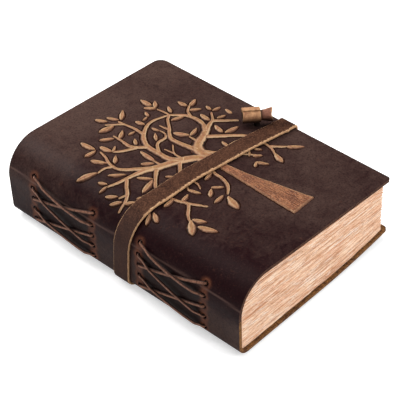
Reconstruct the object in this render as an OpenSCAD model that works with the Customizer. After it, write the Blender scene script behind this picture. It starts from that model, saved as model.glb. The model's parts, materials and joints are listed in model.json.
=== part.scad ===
// Leather journal, closed, lying on its back cover.
// X runs from the spine to the fore edge, Y from the tail to the head, Z up.
// The origin is at the bottom centre of the whole object. Millimetres.

/* [Covers] */
// Height of the covers, tail to head
cover_h = 178; // [170:1:200]
// Width of the covers, spine face to fore edge
cover_w = 127; // [122:1:145]
// Thickness of the book over both covers, near the spine
spine_t = 48.5; // [44:0.5:56]
// How far the front cover drops from the spine side to the fore edge
fore_drop = 5.6; // [3:0.1:7]
// How far the back cover curls up at the fore edge
fore_lift = 4.5; // [2:0.1:6]
// Distance from the spine at which the back cover starts to curl up
lift_x = 66; // [55:1:75]
// Thickness of the cover leather
leather_t = 2; // [1.6:0.1:2.6]
// Outside radius of the large bend between spine and front cover
shoulder_r = 21; // [18:0.5:24]
// Outside radius of the small bend between spine and back cover
heel_r = 7; // [5:0.5:8]
// Corner radius at the head of the fore edge
head_corner_r = 6; // [3:0.5:9]
// Corner radius at the tail of the fore edge
tail_corner_r = 2; // [1:0.5:5]
// Place of the front cover's fold, in degrees up the shoulder bend
front_fold = 37; // [34:0.5:42]
// Place of the back cover's fold, in degrees down the heel bend
back_fold = 45; // [38:1:55]

/* [Pages] */
// Number of folded sheets that show as ridges at the page edges
signature_count = 20; // [14:1:24]
// Depth of the groove between two ridges
ridge_depth = 0.6; // [0.3:0.1:1]
// How far the torn page edges wander
deckle = 0.5; // [0.2:0.1:0.8]
// Distance of the pages behind the fore edge of the covers
fore_setback = 4.5; // [3:0.5:7]
// Distance of the pages behind the tail edge of the covers
tail_setback = 1.5; // [1.2:0.1:4]
// Distance of the pages behind the head edge of the covers
head_setback = 3; // [1.5:0.5:5]
// Gap between the pages and the cover leather
page_gap = 0.2; // [0.1:0.05:0.4]

/* [Lacing] */
// Width of the lacing thong
thong_w = 2; // [1.8:0.1:2.6]
// Thickness of the lacing thong
thong_t = 1.1; // [0.8:0.1:1.3]
// Diameter of the lacing holes in the spine
lace_hole_d = 3.2; // [3.1:0.1:3.8]
// Number of rows of lacing holes
lace_rows = 5; // [5:1:5]
// Height of the lowest row of holes above the back cover's outside
row_first = 7; // [6.5:0.5:8]
// Distance between two rows, measured along the leather
row_pitch = 7.6; // [7:0.1:7.8]
// Distance between the two columns of holes of one lacing
lace_span = 48; // [40:1:52]
// Middle of the lacing near the tail, from the tail edge
tail_lace_y = 49; // [42:1:52]
// Middle of the lacing near the head, from the tail edge
head_lace_y = 133.5; // [128:0.5:140]
// How far the upper thongs sag between their holes
lace_sag = 2; // [0:0.5:3]

/* [Strap] */
// Width of the strap
strap_w = 11.5; // [9:0.5:13]
// Thickness of the strap
strap_t = 1.5; // [1:0.1:2]
// Middle of the strap at mid cover, from the tail edge
strap_y = 81; // [78:0.5:84]
// Inside radius of the strap's bend at the fore edge
strap_bend_r = 1.3; // [1.2:0.1:2]

/* [Embossed tree] */
// Height of the embossed relief above the cover
relief_h = 0.8; // [0.4:0.1:1.2]
// Foot of the trunk, from the spine face
tree_x = 74.5; // [72:0.5:77]
// Foot of the trunk, from the tail edge
tree_y = 18.5; // [14:0.5:28]
// Size of the tree beside the one that was drawn
tree_scale = 1; // [0.9:0.05:1.05]
// Width of the leaves beside the ones that were drawn
leaf_fullness = 1.1; // [0.9:0.1:1.3]

/* [Toggle] */
// Place of the toggle's stem, from the fore edge
toggle_inset = 13; // [11:0.5:15]
// Place of the toggle's stem, from the rear edge of the strap
toggle_clear = 6; // [5.5:0.5:7]
// Length of the wide roll
roll_len = 10.5; // [9.5:0.5:12]
// Outside diameter of the wide roll
roll_d = 10.4; // [9.6:0.1:10.6]
// Length of the narrow roll that stands out of the wide one
tip_len = 7.5; // [6:0.5:9]
// Diameter of the flared end of the narrow roll
flare_d = 9.4; // [8.8:0.1:10]
// Inside diameter of the roll
roll_bore = 5; // [4.8:0.1:5.2]
// Diameter of the stem that the toggle turns on
stem_d = 3.4; // [3:0.1:3.6]
// Angle of the toggle against the fore edge's normal, as it rests
toggle_turn = -42; // [-50:1:-35]
// Upward lean of the toggle's flared end
toggle_lean = 2; // [1:0.5:4]

/* [Hidden] */

// Clearances
fold_gap = 0.3;      // between two parts that meet at a fold
rest_gap = 0.05;     // between a strap or thong and what it lies on
hole_gap = 0.3;      // round the stem in the toggle
roll_gap = 0.3;      // under the toggle's roll and its flared end
edge_gap = 0.4;      // between the covers' edges and the strap's fall
stem_gap = 0.1;      // round the stem in the front cover
channel_gap = 0.7;   // on both sides of the thongs inside the pages

// Allowances
past = 2 * spine_t;  // cutters of this height reach past the whole book
relief_from = 5;     // degrees above the front fold at which the relief may start
channel_end = 8;     // degrees above the front fold at which the thongs' channels end
strap_curl = 0.8;    // where the strap under the back starts to bend up, from the fore edge

// Colours
dark_leather = [0.24, 0.16, 0.14];
tan_leather = [0.72, 0.52, 0.33];
strap_leather = [0.32, 0.23, 0.17];
thong_leather = [0.45, 0.29, 0.2];
page_paper = [0.93, 0.82, 0.71];

// Driving places in the book's own frame: X 0 at the spine face, Y 0 at the tail, Z 0 on the table
bend_z = strap_t + spine_t - shoulder_r;            // centre height of the shoulder bend
slope = atan(fore_drop / (cover_w - shoulder_r));   // fall of the front cover
board_len = (cover_w - shoulder_r - shoulder_r * sin(slope)) / cos(slope);
strap_lift = relief_h + rest_gap;                   // underside of the strap above the front cover
fold_turn = 180 / PI * fold_gap / shoulder_r / 2;   // half of the fold gap, in degrees
heel_turn = 180 / PI * fold_gap / heel_r / 2;

// The widest points along X decide where the origin is
lace_proud = 2 * thong_t + 2 * rest_gap;
fore_out = strap_wall_x() + strap_t;
mid_x = (fore_out - max(lace_proud, strap_t + rest_gap)) / 2;

// Middle of the strap on the front as [x, y beside strap_y], both as shares of the cover's width
strap_drift = [[-0.05, 0.0354], [0.03, 0.0236], [0.1, 0.0094], [0.18, 0.0031], [0.4, 0.0063],
               [0.56, -0.0071], [0.72, -0.0197], [0.86, -0.0378], [0.97, -0.0512], [1.04, -0.0543]];
// The same under the back cover, where it goes straight back to the spine
strap_under = [[-0.05, 0.0488], [0.06, 0.0472], [0.5, 0.0118], [1, -0.0525], [1.04, -0.0543]];

// Limbs of the tree as [x, y, width] from the foot of the trunk
limbs = [
    // left bough and its tip
    [[-2.5, 65.5, 8], [-7, 71.5, 6.5], [-13, 76, 6], [-20.5, 79.5, 5.5], [-28.5, 82, 5],
     [-36, 85.5, 3.8], [-47.5, 87.5, 2.4], [-54.5, 88.5, 1.8], [-59.5, 91, 1.2]],
    [[-48.5, 87.5, 2.4], [-53.5, 82.5, 2.2], [-57.5, 78, 2.2], [-61.5, 75.5, 1.8], [-67, 75, 1.2]],
    [[-58.5, 78, 1.4], [-61.5, 80, 1]],
    [[-31.5, 83.5, 3.6], [-39, 90, 2.6], [-45, 96, 2.2], [-46, 100.5, 2.2], [-45, 105.5, 2],
     [-42.5, 110.5, 1.6], [-41.5, 115.5, 1]],
    [[-46.5, 101, 1.6], [-50, 103, 1.4], [-55, 103, 1]],
    [[-31, 81.5, 2.8], [-37.5, 76, 2.2], [-43.5, 69.5, 2], [-44.5, 61.5, 1.8], [-43.5, 53.5, 1.8],
     [-41.5, 47.5, 2], [-48, 41.5, 1.8], [-51.5, 37, 1.2]],
    [[-42, 49, 1.8], [-38.5, 43, 1.6], [-36, 38.5, 1]],
    [[-17, 77, 2.8], [-21.5, 72.5, 2.2], [-25.5, 68.5, 1.8], [-30, 60, 1.4], [-32.5, 55.5, 1]],
    // middle bough, arching over to the right
    [[-14, 76.5, 4.2], [-19, 82.5, 3.8], [-19.5, 90.5, 3.6], [-19.5, 97.5, 3.6], [-18.5, 102, 3.2],
     [-15, 107.5, 3], [-11, 111, 2.6], [-5, 114.5, 2.2], [0.5, 115.5, 1.8], [5.5, 114.5, 1.4],
     [11, 113, 1]],
    [[-19.5, 99.5, 2.6], [-24.5, 104.5, 2.2], [-26, 108.5, 2], [-25.5, 114.5, 1.6], [-25.5, 121, 1]],
    [[-23.5, 103.5, 2.2], [-31.5, 107, 1.8], [-36, 110.5, 1.2]],
    [[-12.5, 110, 2.4], [-12, 117.5, 1.8], [-13, 124.5, 1.6], [-13.5, 129, 1.2]],
    [[-13, 125, 1.4], [-17, 129, 1.2], [-21, 132.5, 0.8]],
    [[-19, 91, 2.2], [-15, 96.5, 2], [-11.5, 98.5, 1.8], [-6.5, 98.5, 1.6], [-3.5, 101.5, 1.2],
     [-3.5, 105.5, 0.8]],
    [[-14, 77.5, 1.8], [-13.5, 84.5, 1.2], [-8.5, 90.5, 0.8]],
    [[-13.5, 84, 1.2], [-14.5, 91, 0.8]],
    // right bough
    [[-2.5, 67.5, 8], [-2.5, 73.5, 7], [-1, 78, 6.5], [3.5, 81.5, 5.4], [10, 84, 5], [15, 86.5, 4.2],
     [20.5, 89, 3], [25.5, 91, 2], [30, 96, 1.2]],
    [[-2.5, 77.5, 4.2], [-3.5, 83.5, 3.4], [-4.5, 89.5, 3], [-4.5, 95.5, 2.8], [-2, 99.5, 2.4],
     [3, 104.5, 2], [7.5, 110, 1.8], [11.5, 113, 1.4], [11.5, 117.5, 1.2], [11, 121.5, 1]],
    [[14, 86, 3.8], [18, 91, 3], [19.5, 96.5, 2.8], [19, 102, 2.4], [17, 106.5, 2], [14, 110, 1.6],
     [11.5, 113, 1.2]],
    [[19, 102, 2], [22, 107.5, 1.8], [26.5, 110.5, 1.2]],
    [[24.5, 90.5, 2.2], [30, 85, 1.8], [35, 80, 1.4]],
    [[10.5, 82.5, 3], [16.5, 77, 2.6], [23, 71, 2.2], [27, 66, 2], [28, 59.5, 1.8], [28.5, 53.5, 1.6],
     [28, 48, 1.6], [24.5, 42, 1.2]],
    [[28.5, 50, 1.6], [32.5, 45, 1.4], [36, 41.5, 1]],
    // low shoots from the trunk
    [[-1, 73.5, 3.4], [3, 68, 2.2], [7.5, 61.5, 1.8], [12.5, 56, 1.4], [17, 50, 1]],
    [[-6, 69.5, 3.2], [-9, 61.5, 2.2], [-11.5, 55.5, 2], [-12, 49.5, 2], [-14.5, 43, 2], [-20, 38, 1.2]],
    [[4, 82, 2], [4, 89, 1]],
    [[-26.5, 82.5, 1.8], [-26.5, 88.5, 1]],
    [[1, 102.5, 1.4], [0, 109, 0.8]],
    [[-25.5, 62, 1.4], [-25, 56, 1.2], [-27, 52, 0.8]]
];

// Leaves as [x, y, length, width, angle] from the foot of the trunk
leaves = [
    [-60.5, 106.5, 11, 3.8, -36], [-46.5, 118.5, 7.5, 3.2, -4], [-42.5, 124.5, 10, 3.6, -84],
    [-48.5, 109.5, 9, 3.4, -62], [-40.5, 104.5, 6.5, 2.8, 42], [-37.5, 115, 8, 3.8, -80],
    [-34, 112, 5, 2, 32], [-30.5, 121.5, 8, 3, -35], [-23.5, 129, 9.5, 4.6, -10],
    [-21.5, 119, 7.5, 3, 32], [-20, 137, 7, 3, -62], [-14, 133.5, 7, 2.4, -65],
    [-7.5, 132.5, 9, 3.2, 40], [-6, 119, 6, 3, -78], [-1, 120, 4, 1.8, 8], [3, 122.5, 4.5, 2.4, 72],
    [11, 131, 8, 3.8, 92], [8.5, 125.5, 6.5, 3.2, 128], [13.5, 126, 6.5, 3, 48],
    [15.5, 116, 6, 2.6, 62], [25, 114.5, 6.5, 3, 97], [30, 111, 7, 3.4, 16], [26, 105, 6.5, 2.8, -38],
    [12.5, 106.5, 8, 3, -18], [2.5, 94, 9, 3.8, -60], [9, 90.5, 7.5, 3, 16], [24, 95.5, 7.5, 3.8, 84],
    [32.5, 100.5, 4.5, 2.2, 82], [35, 96.5, 5.5, 2.4, -10], [38, 89.5, 5.5, 2.6, 84],
    [31, 89, 5.5, 2.6, -18], [21, 82, 7.5, 3.4, 76], [25.5, 76, 9, 3.6, -10], [12.5, 69, 6, 2.6, 82],
    [17, 66.5, 8, 2.6, -6], [-26, 93.5, 11, 3.4, 86], [-31, 88.5, 7, 3, -42], [-50, 93.5, 9.5, 2.6, -42],
    [-59.5, 95, 5.5, 2.2, -72], [-62, 92, 5, 2, -16], [-63, 84.5, 7, 2.4, -64],
    [-64.5, 79.5, 7, 2.4, -56], [-41.5, 80, 8.5, 2.6, -54], [-45.5, 74, 11.5, 3.8, 18],
    [-61, 72.5, 6.5, 2.4, -52], [-55, 69.5, 5, 2, -38], [-31, 71, 5, 2, -52], [-9.5, 103, 6.5, 2.4, 52],
    [-21, 108, 5.5, 2.6, 55], [-16.5, 115.5, 4.5, 2, -6], [-4.5, 108, 5, 2, -80],
    [-63, 56.5, 6, 2.6, 22], [-60.5, 53.5, 6.5, 3, 62], [-48, 55.5, 8, 3, 6], [-39, 52, 6.5, 2.8, 14],
    [-31.5, 52, 7.5, 2.6, -70], [-26, 45, 6.5, 2.8, 38], [-20, 45.5, 6.5, 2.4, -45],
    [-27, 38, 7.5, 2.8, 6], [-24, 30.5, 11, 5, 70], [-54.5, 32.5, 10.5, 4.6, 48],
    [-48, 33, 7.5, 3.2, -62], [-50, 25, 10.5, 4.2, -68], [-16, 56, 7, 2.6, 14], [17, 48.5, 5, 2.2, -42],
    [10, 44, 4, 2.2, 38], [13.5, 42, 7, 2.6, -62], [23.5, 38.5, 8.5, 3.8, 70],
    [38, 38.5, 9.5, 3.2, -48], [21.5, 52.5, 4.5, 1.8, -58], [15.5, 53.5, 5, 1.8, 42]
];

// Outline of the trunk from its foot, up the left side and down the right one
trunk = [[-8.5, 0], [-8, 13], [-7.4, 26.5], [-6.6, 42], [-6.2, 56.5], [-6.5, 69], [1.5, 69],
         [-1, 56.5], [0.5, 43.5], [3, 31.5], [5.2, 21.5], [7.2, 11.5], [10, 0]];

// Value of a list of [x, y] pairs at x
function at(list, x, i = 0) =
    i > len(list) - 3 || x < list[i + 1][0]
        ? list[i][1] + (list[i + 1][1] - list[i][1]) * (x - list[i][0]) / (list[i + 1][0] - list[i][0])
        : at(list, x, i + 1);

// Smooth step from 0 to 1 while x goes from a to b
function ease(x, a, b) = let (t = max(0, min(1, (x - a) / (b - a)))) t * t * (3 - 2 * t);

// Point of a smooth curve through p at i + t
function curve(p, i, t) =
    let (a = p[max(i - 1, 0)], b = p[i], c = p[i + 1], d = p[min(i + 2, len(p) - 1)])
    0.5 * (2 * b + (c - a) * t + (2 * a - 5 * b + 4 * c - d) * t * t
        + (3 * b - a - 3 * c + d) * t * t * t);

// Underside of the back cover at x
function back_z(x) = strap_t
    + (x > lift_x ? fore_lift * pow((x - lift_x) / (cover_w - lift_x), 2) : 0);

// Face of the strap's fall at the fore edge that looks at the pages
function strap_wall_x() = cover_w + edge_gap;

// Middle of the strap at x on the front or the back
function strap_at(list, x) = strap_y + at(list, x / cover_w) * cover_w;

// Place along the leather of the spine: y, height h along the skin, and off outwards from the skin
function skin(y, h, off) =
    let (z = strap_t + h, turn = max(0, z - bend_z) / shoulder_r * 180 / PI)
    z <= bend_z ? [-off, y, z]
        : [shoulder_r - (shoulder_r + off) * cos(turn), y, bend_z + (shoulder_r + off) * sin(turn)];

// Moves the book's own frame to the origin at the bottom centre
module placed() translate([-mid_x, -cover_h / 2, 0]) children();

// Frame of the front cover's flat: x along it, y along the book, z 0 on its outside
module on_board(x = 0, y = 0)
    translate([shoulder_r, 0, bend_z]) rotate([0, slope, 0]) translate([x, y, shoulder_r]) children();

// Section in X and Z drawn out along the book
module along_book(from, length)
    translate([0, from + length, 0]) rotate([90, 0, 0]) linear_extrude(length) children();

// Part of a ring between two angles, from the spine side upwards
module ring_part(outer, thick, a, b) {
    far = 3 * outer;
    intersection() {
        difference() {
            circle(r = outer, $fn = 120);
            circle(r = outer - thick, $fn = 120);
        }
        polygon([[0, 0], far * [-cos(a), sin(a)], far * [-cos((a + b) / 2), sin((a + b) / 2)],
                 far * [-cos(b), sin(b)]]);
    }
}

// Section of the front cover between two distances from its outside, drawn with the board level
module front_section(up, down, start)
    translate([shoulder_r, bend_z]) rotate(-slope) {
        ring_part(shoulder_r + up, up + down, start - slope, 90);
        translate([0, shoulder_r - down]) square([board_len, up + down]);
    }

// Cuts the two outer corners of a cover round
module round_corners() difference() {
    children();
    translate([cover_w, cover_h, 0]) mirror([1, 0, 0]) mirror([0, 1, 0]) corner_cut(head_corner_r);
    translate([cover_w, 0, 0]) mirror([1, 0, 0]) corner_cut(tail_corner_r);
}

// What a round corner takes off, from the corner inwards
module corner_cut(r)
    translate([-1, -1, -1]) linear_extrude(past) difference() {
        square(r + 1);
        translate([r + 1, r + 1]) circle(r = r, $fn = 48);
    }

// Leaf with pointed ends, drawn from its own middle
module leaf(size) {
    steps = 5;
    half = leaf_fullness * size[3] / 2;
    side = [for (i = [0:steps]) let (t = i / steps)
        [size[2] * (t - 0.5), half * pow(sin(180 * t), 0.85) * (1.1 - 0.3 * t)]];
    translate([size[0], size[1]]) rotate(size[4])
        polygon(concat(side, [for (i = [steps - 1:-1:1]) [side[i][0], -side[i][1]]]));
}

// Limb that tapers along its points
module limb(points) {
    steps = 3;
    last = len(points) - 1;
    line = [for (i = [0:last - 1]) for (k = [0:steps - 1]) curve(points, i, k / steps),
            points[last]];
    n = len(line) - 1;
    sides = [for (i = [0:n])
        let (a = line[max(i - 1, 0)], b = line[min(i + 1, n)], d = [b[0] - a[0], b[1] - a[1]],
             across = [-d[1], d[0]] / norm(d) * line[i][2] / 2, p = [line[i][0], line[i][1]])
        [p + across, p - across]];
    polygon(concat([for (i = [0:n]) sides[i][0]], [for (i = [n:-1:0]) sides[i][1]]));
}

// The embossed tree, seen from above: slivers narrower than two trims are taken off or filled
module tree_plan() {
    trim = 0.12;
    offset(delta = -trim) offset(delta = 2 * trim) offset(delta = -trim)
        translate([tree_x, tree_y]) scale(tree_scale) {
            polygon(trunk);
            for (points = limbs) limb(points);
            for (size = leaves) leaf(size);
        }
}

// Front half of the cover: shoulder bend, flat board and the embossed tree
module front_cover() color(dark_leather) placed() {
    difference() {
        round_corners()
            along_book(0, cover_h) front_section(0, leather_t, front_fold + fold_turn);
        stem_hole();
    }
    color(tan_leather) difference() {
        intersection() {
            along_book(0, cover_h) front_section(relief_h, leather_t / 2, front_fold + relief_from);
            translate([0, 0, bend_z]) linear_extrude(past) tree_plan();
        }
        stem_hole();
    }
}

// Hole for the toggle's stem, through cover and relief
module stem_hole()
    at_stem() cylinder(d = stem_d + 2 * stem_gap, h = spine_t / 2, center = true, $fn = 32);

// Spine leather with the lacing holes
module spine() color(dark_leather) placed() difference() {
    along_book(0, cover_h) {
        translate([shoulder_r, bend_z])
            ring_part(shoulder_r, leather_t, 0, front_fold - fold_turn);
        translate([0, strap_t + heel_r]) square([leather_t, bend_z - strap_t - heel_r]);
        translate([heel_r, strap_t + heel_r])
            ring_part(heel_r, leather_t, -back_fold + heel_turn, 0);
    }
    for (middle = [tail_lace_y, head_lace_y]) for (side = [-1, 1]) for (row = [0:lace_rows - 1])
        lace_hole(middle + side * lace_span / 2, row_first + row * row_pitch);
}

// One lacing hole, square to the leather
module lace_hole(y, h) {
    p = skin(y, h, 1);
    q = skin(y, h, -leather_t - 1);
    d = q - p;
    translate(p) rotate([0, atan2(d[0], d[2]), 0]) cylinder(d = lace_hole_d, h = norm(d), $fn = 32);
}

// Back half of the cover, curling up towards the fore edge
module back_cover() color(dark_leather) placed() {
    steps = 8;
    xs = concat([heel_r], [for (i = [0:steps]) lift_x + (cover_w - lift_x) * i / steps]);
    round_corners() along_book(0, cover_h) {
        translate([heel_r, strap_t + heel_r])
            ring_part(heel_r, leather_t, -90, -back_fold - heel_turn);
        polygon(concat([for (x = xs) [x, back_z(x)]],
                       [for (i = [len(xs) - 1:-1:0]) [xs[i], back_z(xs[i]) + leather_t]]));
    }
}

// Pages: every folded sheet is a ridge, its torn edges wander
module text_block() color(page_paper) placed() difference() {
    page_stack();
    for (middle = [tail_lace_y, head_lace_y]) for (side = [-1, 1])
        thong_channel(middle + side * lace_span / 2);
}

// Room in the backs of the sheets for the thongs that run inside
module thong_channel(y) {
    depth = leather_t + thong_t + 2 * page_gap;
    wide = thong_w + 2 * channel_gap;
    along_book(y - wide / 2, wide) {
        translate([shoulder_r, bend_z])
            ring_part(shoulder_r + 1, depth + 1, 0, front_fold + channel_end);
        translate([-1, strap_t + 2]) square([depth + 1, bend_z - strap_t - 2]);
    }
}

module page_stack() {
    across = 20;
    along = 16;
    levels = 2 * signature_count;
    inner_r = shoulder_r - leather_t - page_gap;
    heel_in = heel_r - leather_t - page_gap;
    low = strap_t + leather_t + page_gap;
    high = bend_z + inner_r;
    fore_x = cover_w - fore_setback;
    // where the sheet at height z starts beside the spine
    function back_x(z) = z > bend_z ? shoulder_r - sqrt(max(0, pow(inner_r, 2) - pow(z - bend_z, 2)))
        : z < strap_t + heel_r ? heel_r - sqrt(max(0, pow(heel_in, 2) - pow(strap_t + heel_r - z, 2)))
        : leather_t + page_gap;
    // height of the sheet with share f at x
    function sheet_z(f, x) = low + (high - low) * f + (1 - f) * (back_z(x) - strap_t)
        - f * max(0, (x - shoulder_r) * tan(slope) + inner_r * (1 - 1 / cos(slope)));
    // wander of a torn edge
    function torn(k, u) = deckle * (0.5 * sin(97 * k + 53 * u) + 0.3 * sin(61 * k + 141 * u)
        + 0.2 * sin(233 * k + 29 * u));
    function edge(k, u) = (k % 2 == 1 ? ridge_depth : 0) + torn(k, u);
    function place(k, i, j) =
        let (f = k / levels, x0 = back_x(low + (high - low) * f),
             x1 = fore_x - edge(k, j + 7), x = x0 + (fore_x - x0) * i / across,
             y0 = tail_setback + edge(k, i), y1 = cover_h - head_setback - edge(k, i + 40))
        [i == across ? x1 : x, y0 + (y1 - y0) * j / along, sheet_z(f, x)];
    ring_n = 2 * (across + along);
    // the grid places once round the edge of a sheet
    rim = [for (j = [0:along]) [0, j], for (i = [1:across]) [i, along],
           for (j = [along - 1:-1:0]) [across, j], for (i = [across - 1:-1:1]) [i, 0]];
    inside_n = (across - 1) * (along - 1);
    function rim_index(i, j) = i == 0 ? j : j == along ? along + i
        : i == across ? along + across + along - j : ring_n - i;
    // index of a grid place on the lowest sheet (top = 0) or the highest one (top = 1)
    function index(i, j, top) = i == 0 || i == across || j == 0 || j == along
        ? top * levels * ring_n + rim_index(i, j)
        : (levels + 1) * ring_n + top * inside_n + (i - 1) * (along - 1) + j - 1;
    points = [for (k = [0:levels]) for (g = rim) place(k, g[0], g[1]),
              for (top = [0, 1]) for (i = [1:across - 1]) for (j = [1:along - 1])
                  place(top * levels, i, j)];
    walls = [for (k = [0:levels - 1]) for (g = [0:ring_n - 1])
        let (a = k * ring_n + g, b = k * ring_n + (g + 1) % ring_n)
        each [[a, b, b + ring_n], [a, b + ring_n, a + ring_n]]];
    caps = [for (top = [0, 1]) for (i = [0:across - 1]) for (j = [0:along - 1])
        let (a = index(i, j, top), b = index(i + 1, j, top), c = index(i + 1, j + 1, top),
             d = index(i, j + 1, top))
        each (top == 0 ? [[a, b, c], [a, c, d]] : [[a, c, b], [a, d, c]])];
    polyhedron(points, concat(walls, caps), convexity = 4);
}

// Thong of one section swept through stations of [distance, height off the leather, lean]
module thong(from, to, stations, sag = 0) {
    run = to - from;
    len_run = norm(run);
    side = [-run[1], run[0]] / len_run;
    w = thong_w / 2;
    t = thong_t / 2;
    c = thong_t / 4;
    section = [[-w, -t + c], [-w + c, -t], [w - c, -t], [w, -t + c],
               [w, t - c], [w - c, t], [-w + c, t], [-w, t - c]];
    n = len(section);
    last = len(stations) - 1;
    points = [for (s = stations) for (q = section)
        let (d = s[0] - q[1] * sin(s[2]), off = s[1] + q[1] * cos(s[2]), u = d / len_run,
             p = from + run * u + side * q[0])
        skin(p[0], p[1] - sag * 4 * max(0, u * (1 - u)), off)];
    sides = [for (i = [0:last - 1]) for (k = [0:n - 1])
        let (a = i * n + k, b = i * n + (k + 1) % n) each [[a, b, b + n], [a, b + n, a + n]]];
    ends = [for (k = [1:n - 2]) each [[0, k + 1, k], [last * n, last * n + k, last * n + k + 1]]];
    polyhedron(points, concat(sides, ends), convexity = 4);
}

// Thong across the outside of the spine, from one hole into another
module outer_thong(from, to, over) {
    length = norm(to - from);
    deep = leather_t + thong_t / 2 + rest_gap;
    low = thong_t / 2 + rest_gap;
    rise = over ? thong_t + rest_gap : 0;
    steps = 14;
    t = thong_t;
    // the thong turns over the rim of its hole
    rim = [[0, -deep, 90], [0, -0.36 * t, 90], [0.14 * t, 0.09 * t, 65], [0.45 * t, 0.41 * t, 30]];
    stations = concat(rim,
        [for (i = [0:steps]) let (s = 1.1 * t + (length - 2.2 * t) * i / steps, u = s / length)
            [s, low + rise * ease(u, 0.06, 0.22) * ease(1 - u, 0.04, 0.14), 0]],
        [for (i = [len(rim) - 1:-1:0]) [length - rim[i][0], rim[i][1], -rim[i][2]]]);
    thong(from, to, stations, over ? lace_sag : 0);
}

// Thong along the inside of the spine, past the holes at both ends
module inner_thong(y, h1, h2) {
    off = -leather_t - thong_t / 2 - rest_gap;
    past = thong_t / 2;
    length = h2 - h1 + 2 * past;
    thong([y, h1 - past], [y, h2 + past],
          [for (i = [0:4]) [length * i / 4, off, 0]]);
}

// One whole lacing: out of one column of holes, across, and into the other
module lacing(middle) {
    head = middle + lace_span / 2;
    tail = middle - lace_span / 2;
    function row(k) = row_first + (lace_rows - k) * row_pitch;
    outer_thong([head, row(1)], [tail, row(2)], true);
    outer_thong([head, row(2)], [tail, row(4)], true);
    outer_thong([head, row(4)], [tail, row(5)], true);
    outer_thong([tail, row(1)], [head, row(3)], false);
    outer_thong([tail, row(3)], [head, row(5)], false);
    inner_thong(tail, row(2), row(1));
    inner_thong(head, row(3), row(2));
    inner_thong(tail, row(4), row(3));
    inner_thong(head, row(5), row(4));
    // the two ends are knotted inside
    inner_thong(head, row(1) - thong_t, row(1) + thong_t);
    inner_thong(tail, row(5) - thong_t, row(5) + thong_t);
}

module lace_tail() color(thong_leather) placed() lacing(tail_lace_y);

module lace_head() color(thong_leather) placed() lacing(head_lace_y);

// Outline of the strap in the X-Y plane over a drift list
module strap_plan(drift) {
    middle = [for (p = drift) [0, strap_y] + p * cover_w];
    half = [0, strap_w / 2];
    polygon(concat([for (p = middle) p - half],
                   [for (i = [len(middle) - 1:-1:0]) middle[i] + half]));
}

// Middle height of the fore edge, where the two halves of the strap meet
function fore_mid_z() = (bend_z + shoulder_r * cos(slope) - board_len * sin(slope)
    + back_z(cover_w)) / 2;

// Section of the strap over the front cover and down the fore edge
module strap_front_section() {
    c = [shoulder_r, bend_z];
    along = [cos(slope), -sin(slope)];
    out = [sin(slope), cos(slope)];
    edge = c + shoulder_r * out + board_len * along;
    start = front_fold + fold_turn;
    bend = [strap_wall_x() - strap_bend_r,
            (edge + (strap_lift - strap_bend_r) * out)[1] + rest_gap];
    arc_n = 12;
    // on the shoulder the strap rises from the fold to its height over the relief
    function shoulder(extra) = [for (i = [0:arc_n])
        let (a = start + (90 + slope - start) * i / arc_n,
             r = shoulder_r + extra + rest_gap + relief_h * ease(i, 0, arc_n * 0.6))
        c + r * [-cos(a), sin(a)]];
    function corner(extra) = [for (i = [0:4])
        let (a = (90 - slope) * (1 - i / 4)) bend + (strap_bend_r + extra) * [cos(a), sin(a)]];
    end_z = fore_mid_z() + fold_gap / 2;
    polygon(concat(shoulder(0), corner(0), [[strap_wall_x(), end_z]],
        [[strap_wall_x() + strap_t, end_z]],
        [for (list = [corner(strap_t)]) for (i = [4:-1:0]) list[i]],
        [for (list = [shoulder(strap_t)]) for (i = [arc_n:-1:0]) list[i]]));
}

module strap_front() color(strap_leather) placed() intersection() {
    along_book(0, cover_h) strap_front_section();
    linear_extrude(past) strap_plan(strap_drift);
}

// Strap across the spine, between the two folds
module strap_spine() color(strap_leather) placed() intersection() {
    along_book(0, cover_h) {
        translate([shoulder_r, bend_z])
            ring_part(shoulder_r + rest_gap + strap_t, strap_t, 0, front_fold - fold_turn);
        translate([-rest_gap - strap_t, strap_t + heel_r])
            square([strap_t, bend_z - strap_t - heel_r]);
        translate([heel_r, strap_t + heel_r])
            ring_part(heel_r + rest_gap + strap_t, strap_t, -back_fold + heel_turn, 0);
    }
    // a straight band between the places where it crosses the two folds
    low = [strap_at(strap_under, heel_r * (1 - cos(back_fold))),
           strap_t + heel_r * (1 - sin(back_fold))];
    high = [strap_at(strap_drift, shoulder_r * (1 - cos(front_fold))),
            bend_z + shoulder_r * sin(front_fold)];
    run = (high - low) / 4;
    half = [strap_w / 2, 0];
    rotate([90, 0, 90]) linear_extrude(past, center = true)
        polygon([low - run - half, low - run + half, high + run + half, high + run - half]);
}

// Section of the strap under the back cover and up the fore edge
module strap_back_section() {
    steps = 7;
    end_x = cover_w - strap_curl;
    xs = concat([heel_r], [for (i = [0:steps]) lift_x + (end_x - lift_x) * i / steps]);
    rise = atan(2 * fore_lift * (end_x - lift_x) / pow(cover_w - lift_x, 2));
    bend = [strap_wall_x() - strap_bend_r, back_z(cover_w) - rest_gap + strap_bend_r];
    function corner(extra) = [for (i = [1:4])
        let (a = -90 + rise + (90 - rise) * i / 4) bend + (strap_bend_r + extra) * [cos(a), sin(a)]];
    end_z = fore_mid_z() - fold_gap / 2;
    polygon(concat([for (x = xs) [x, back_z(x) - strap_t]], corner(strap_t),
        [[strap_wall_x() + strap_t, end_z], [strap_wall_x(), end_z]],
        [for (list = [corner(0)]) for (i = [3:-1:0]) list[i]],
        [for (i = [len(xs) - 1:-1:0]) [xs[i], back_z(xs[i]) - rest_gap]]));
    translate([heel_r, strap_t + heel_r])
        ring_part(heel_r + strap_t, strap_t - rest_gap, -90, -back_fold - heel_turn);
}

module strap_back() color(strap_leather) placed() intersection() {
    along_book(0, cover_h) strap_back_section();
    translate([0, 0, -1]) linear_extrude(past) strap_plan(strap_under);
}

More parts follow.
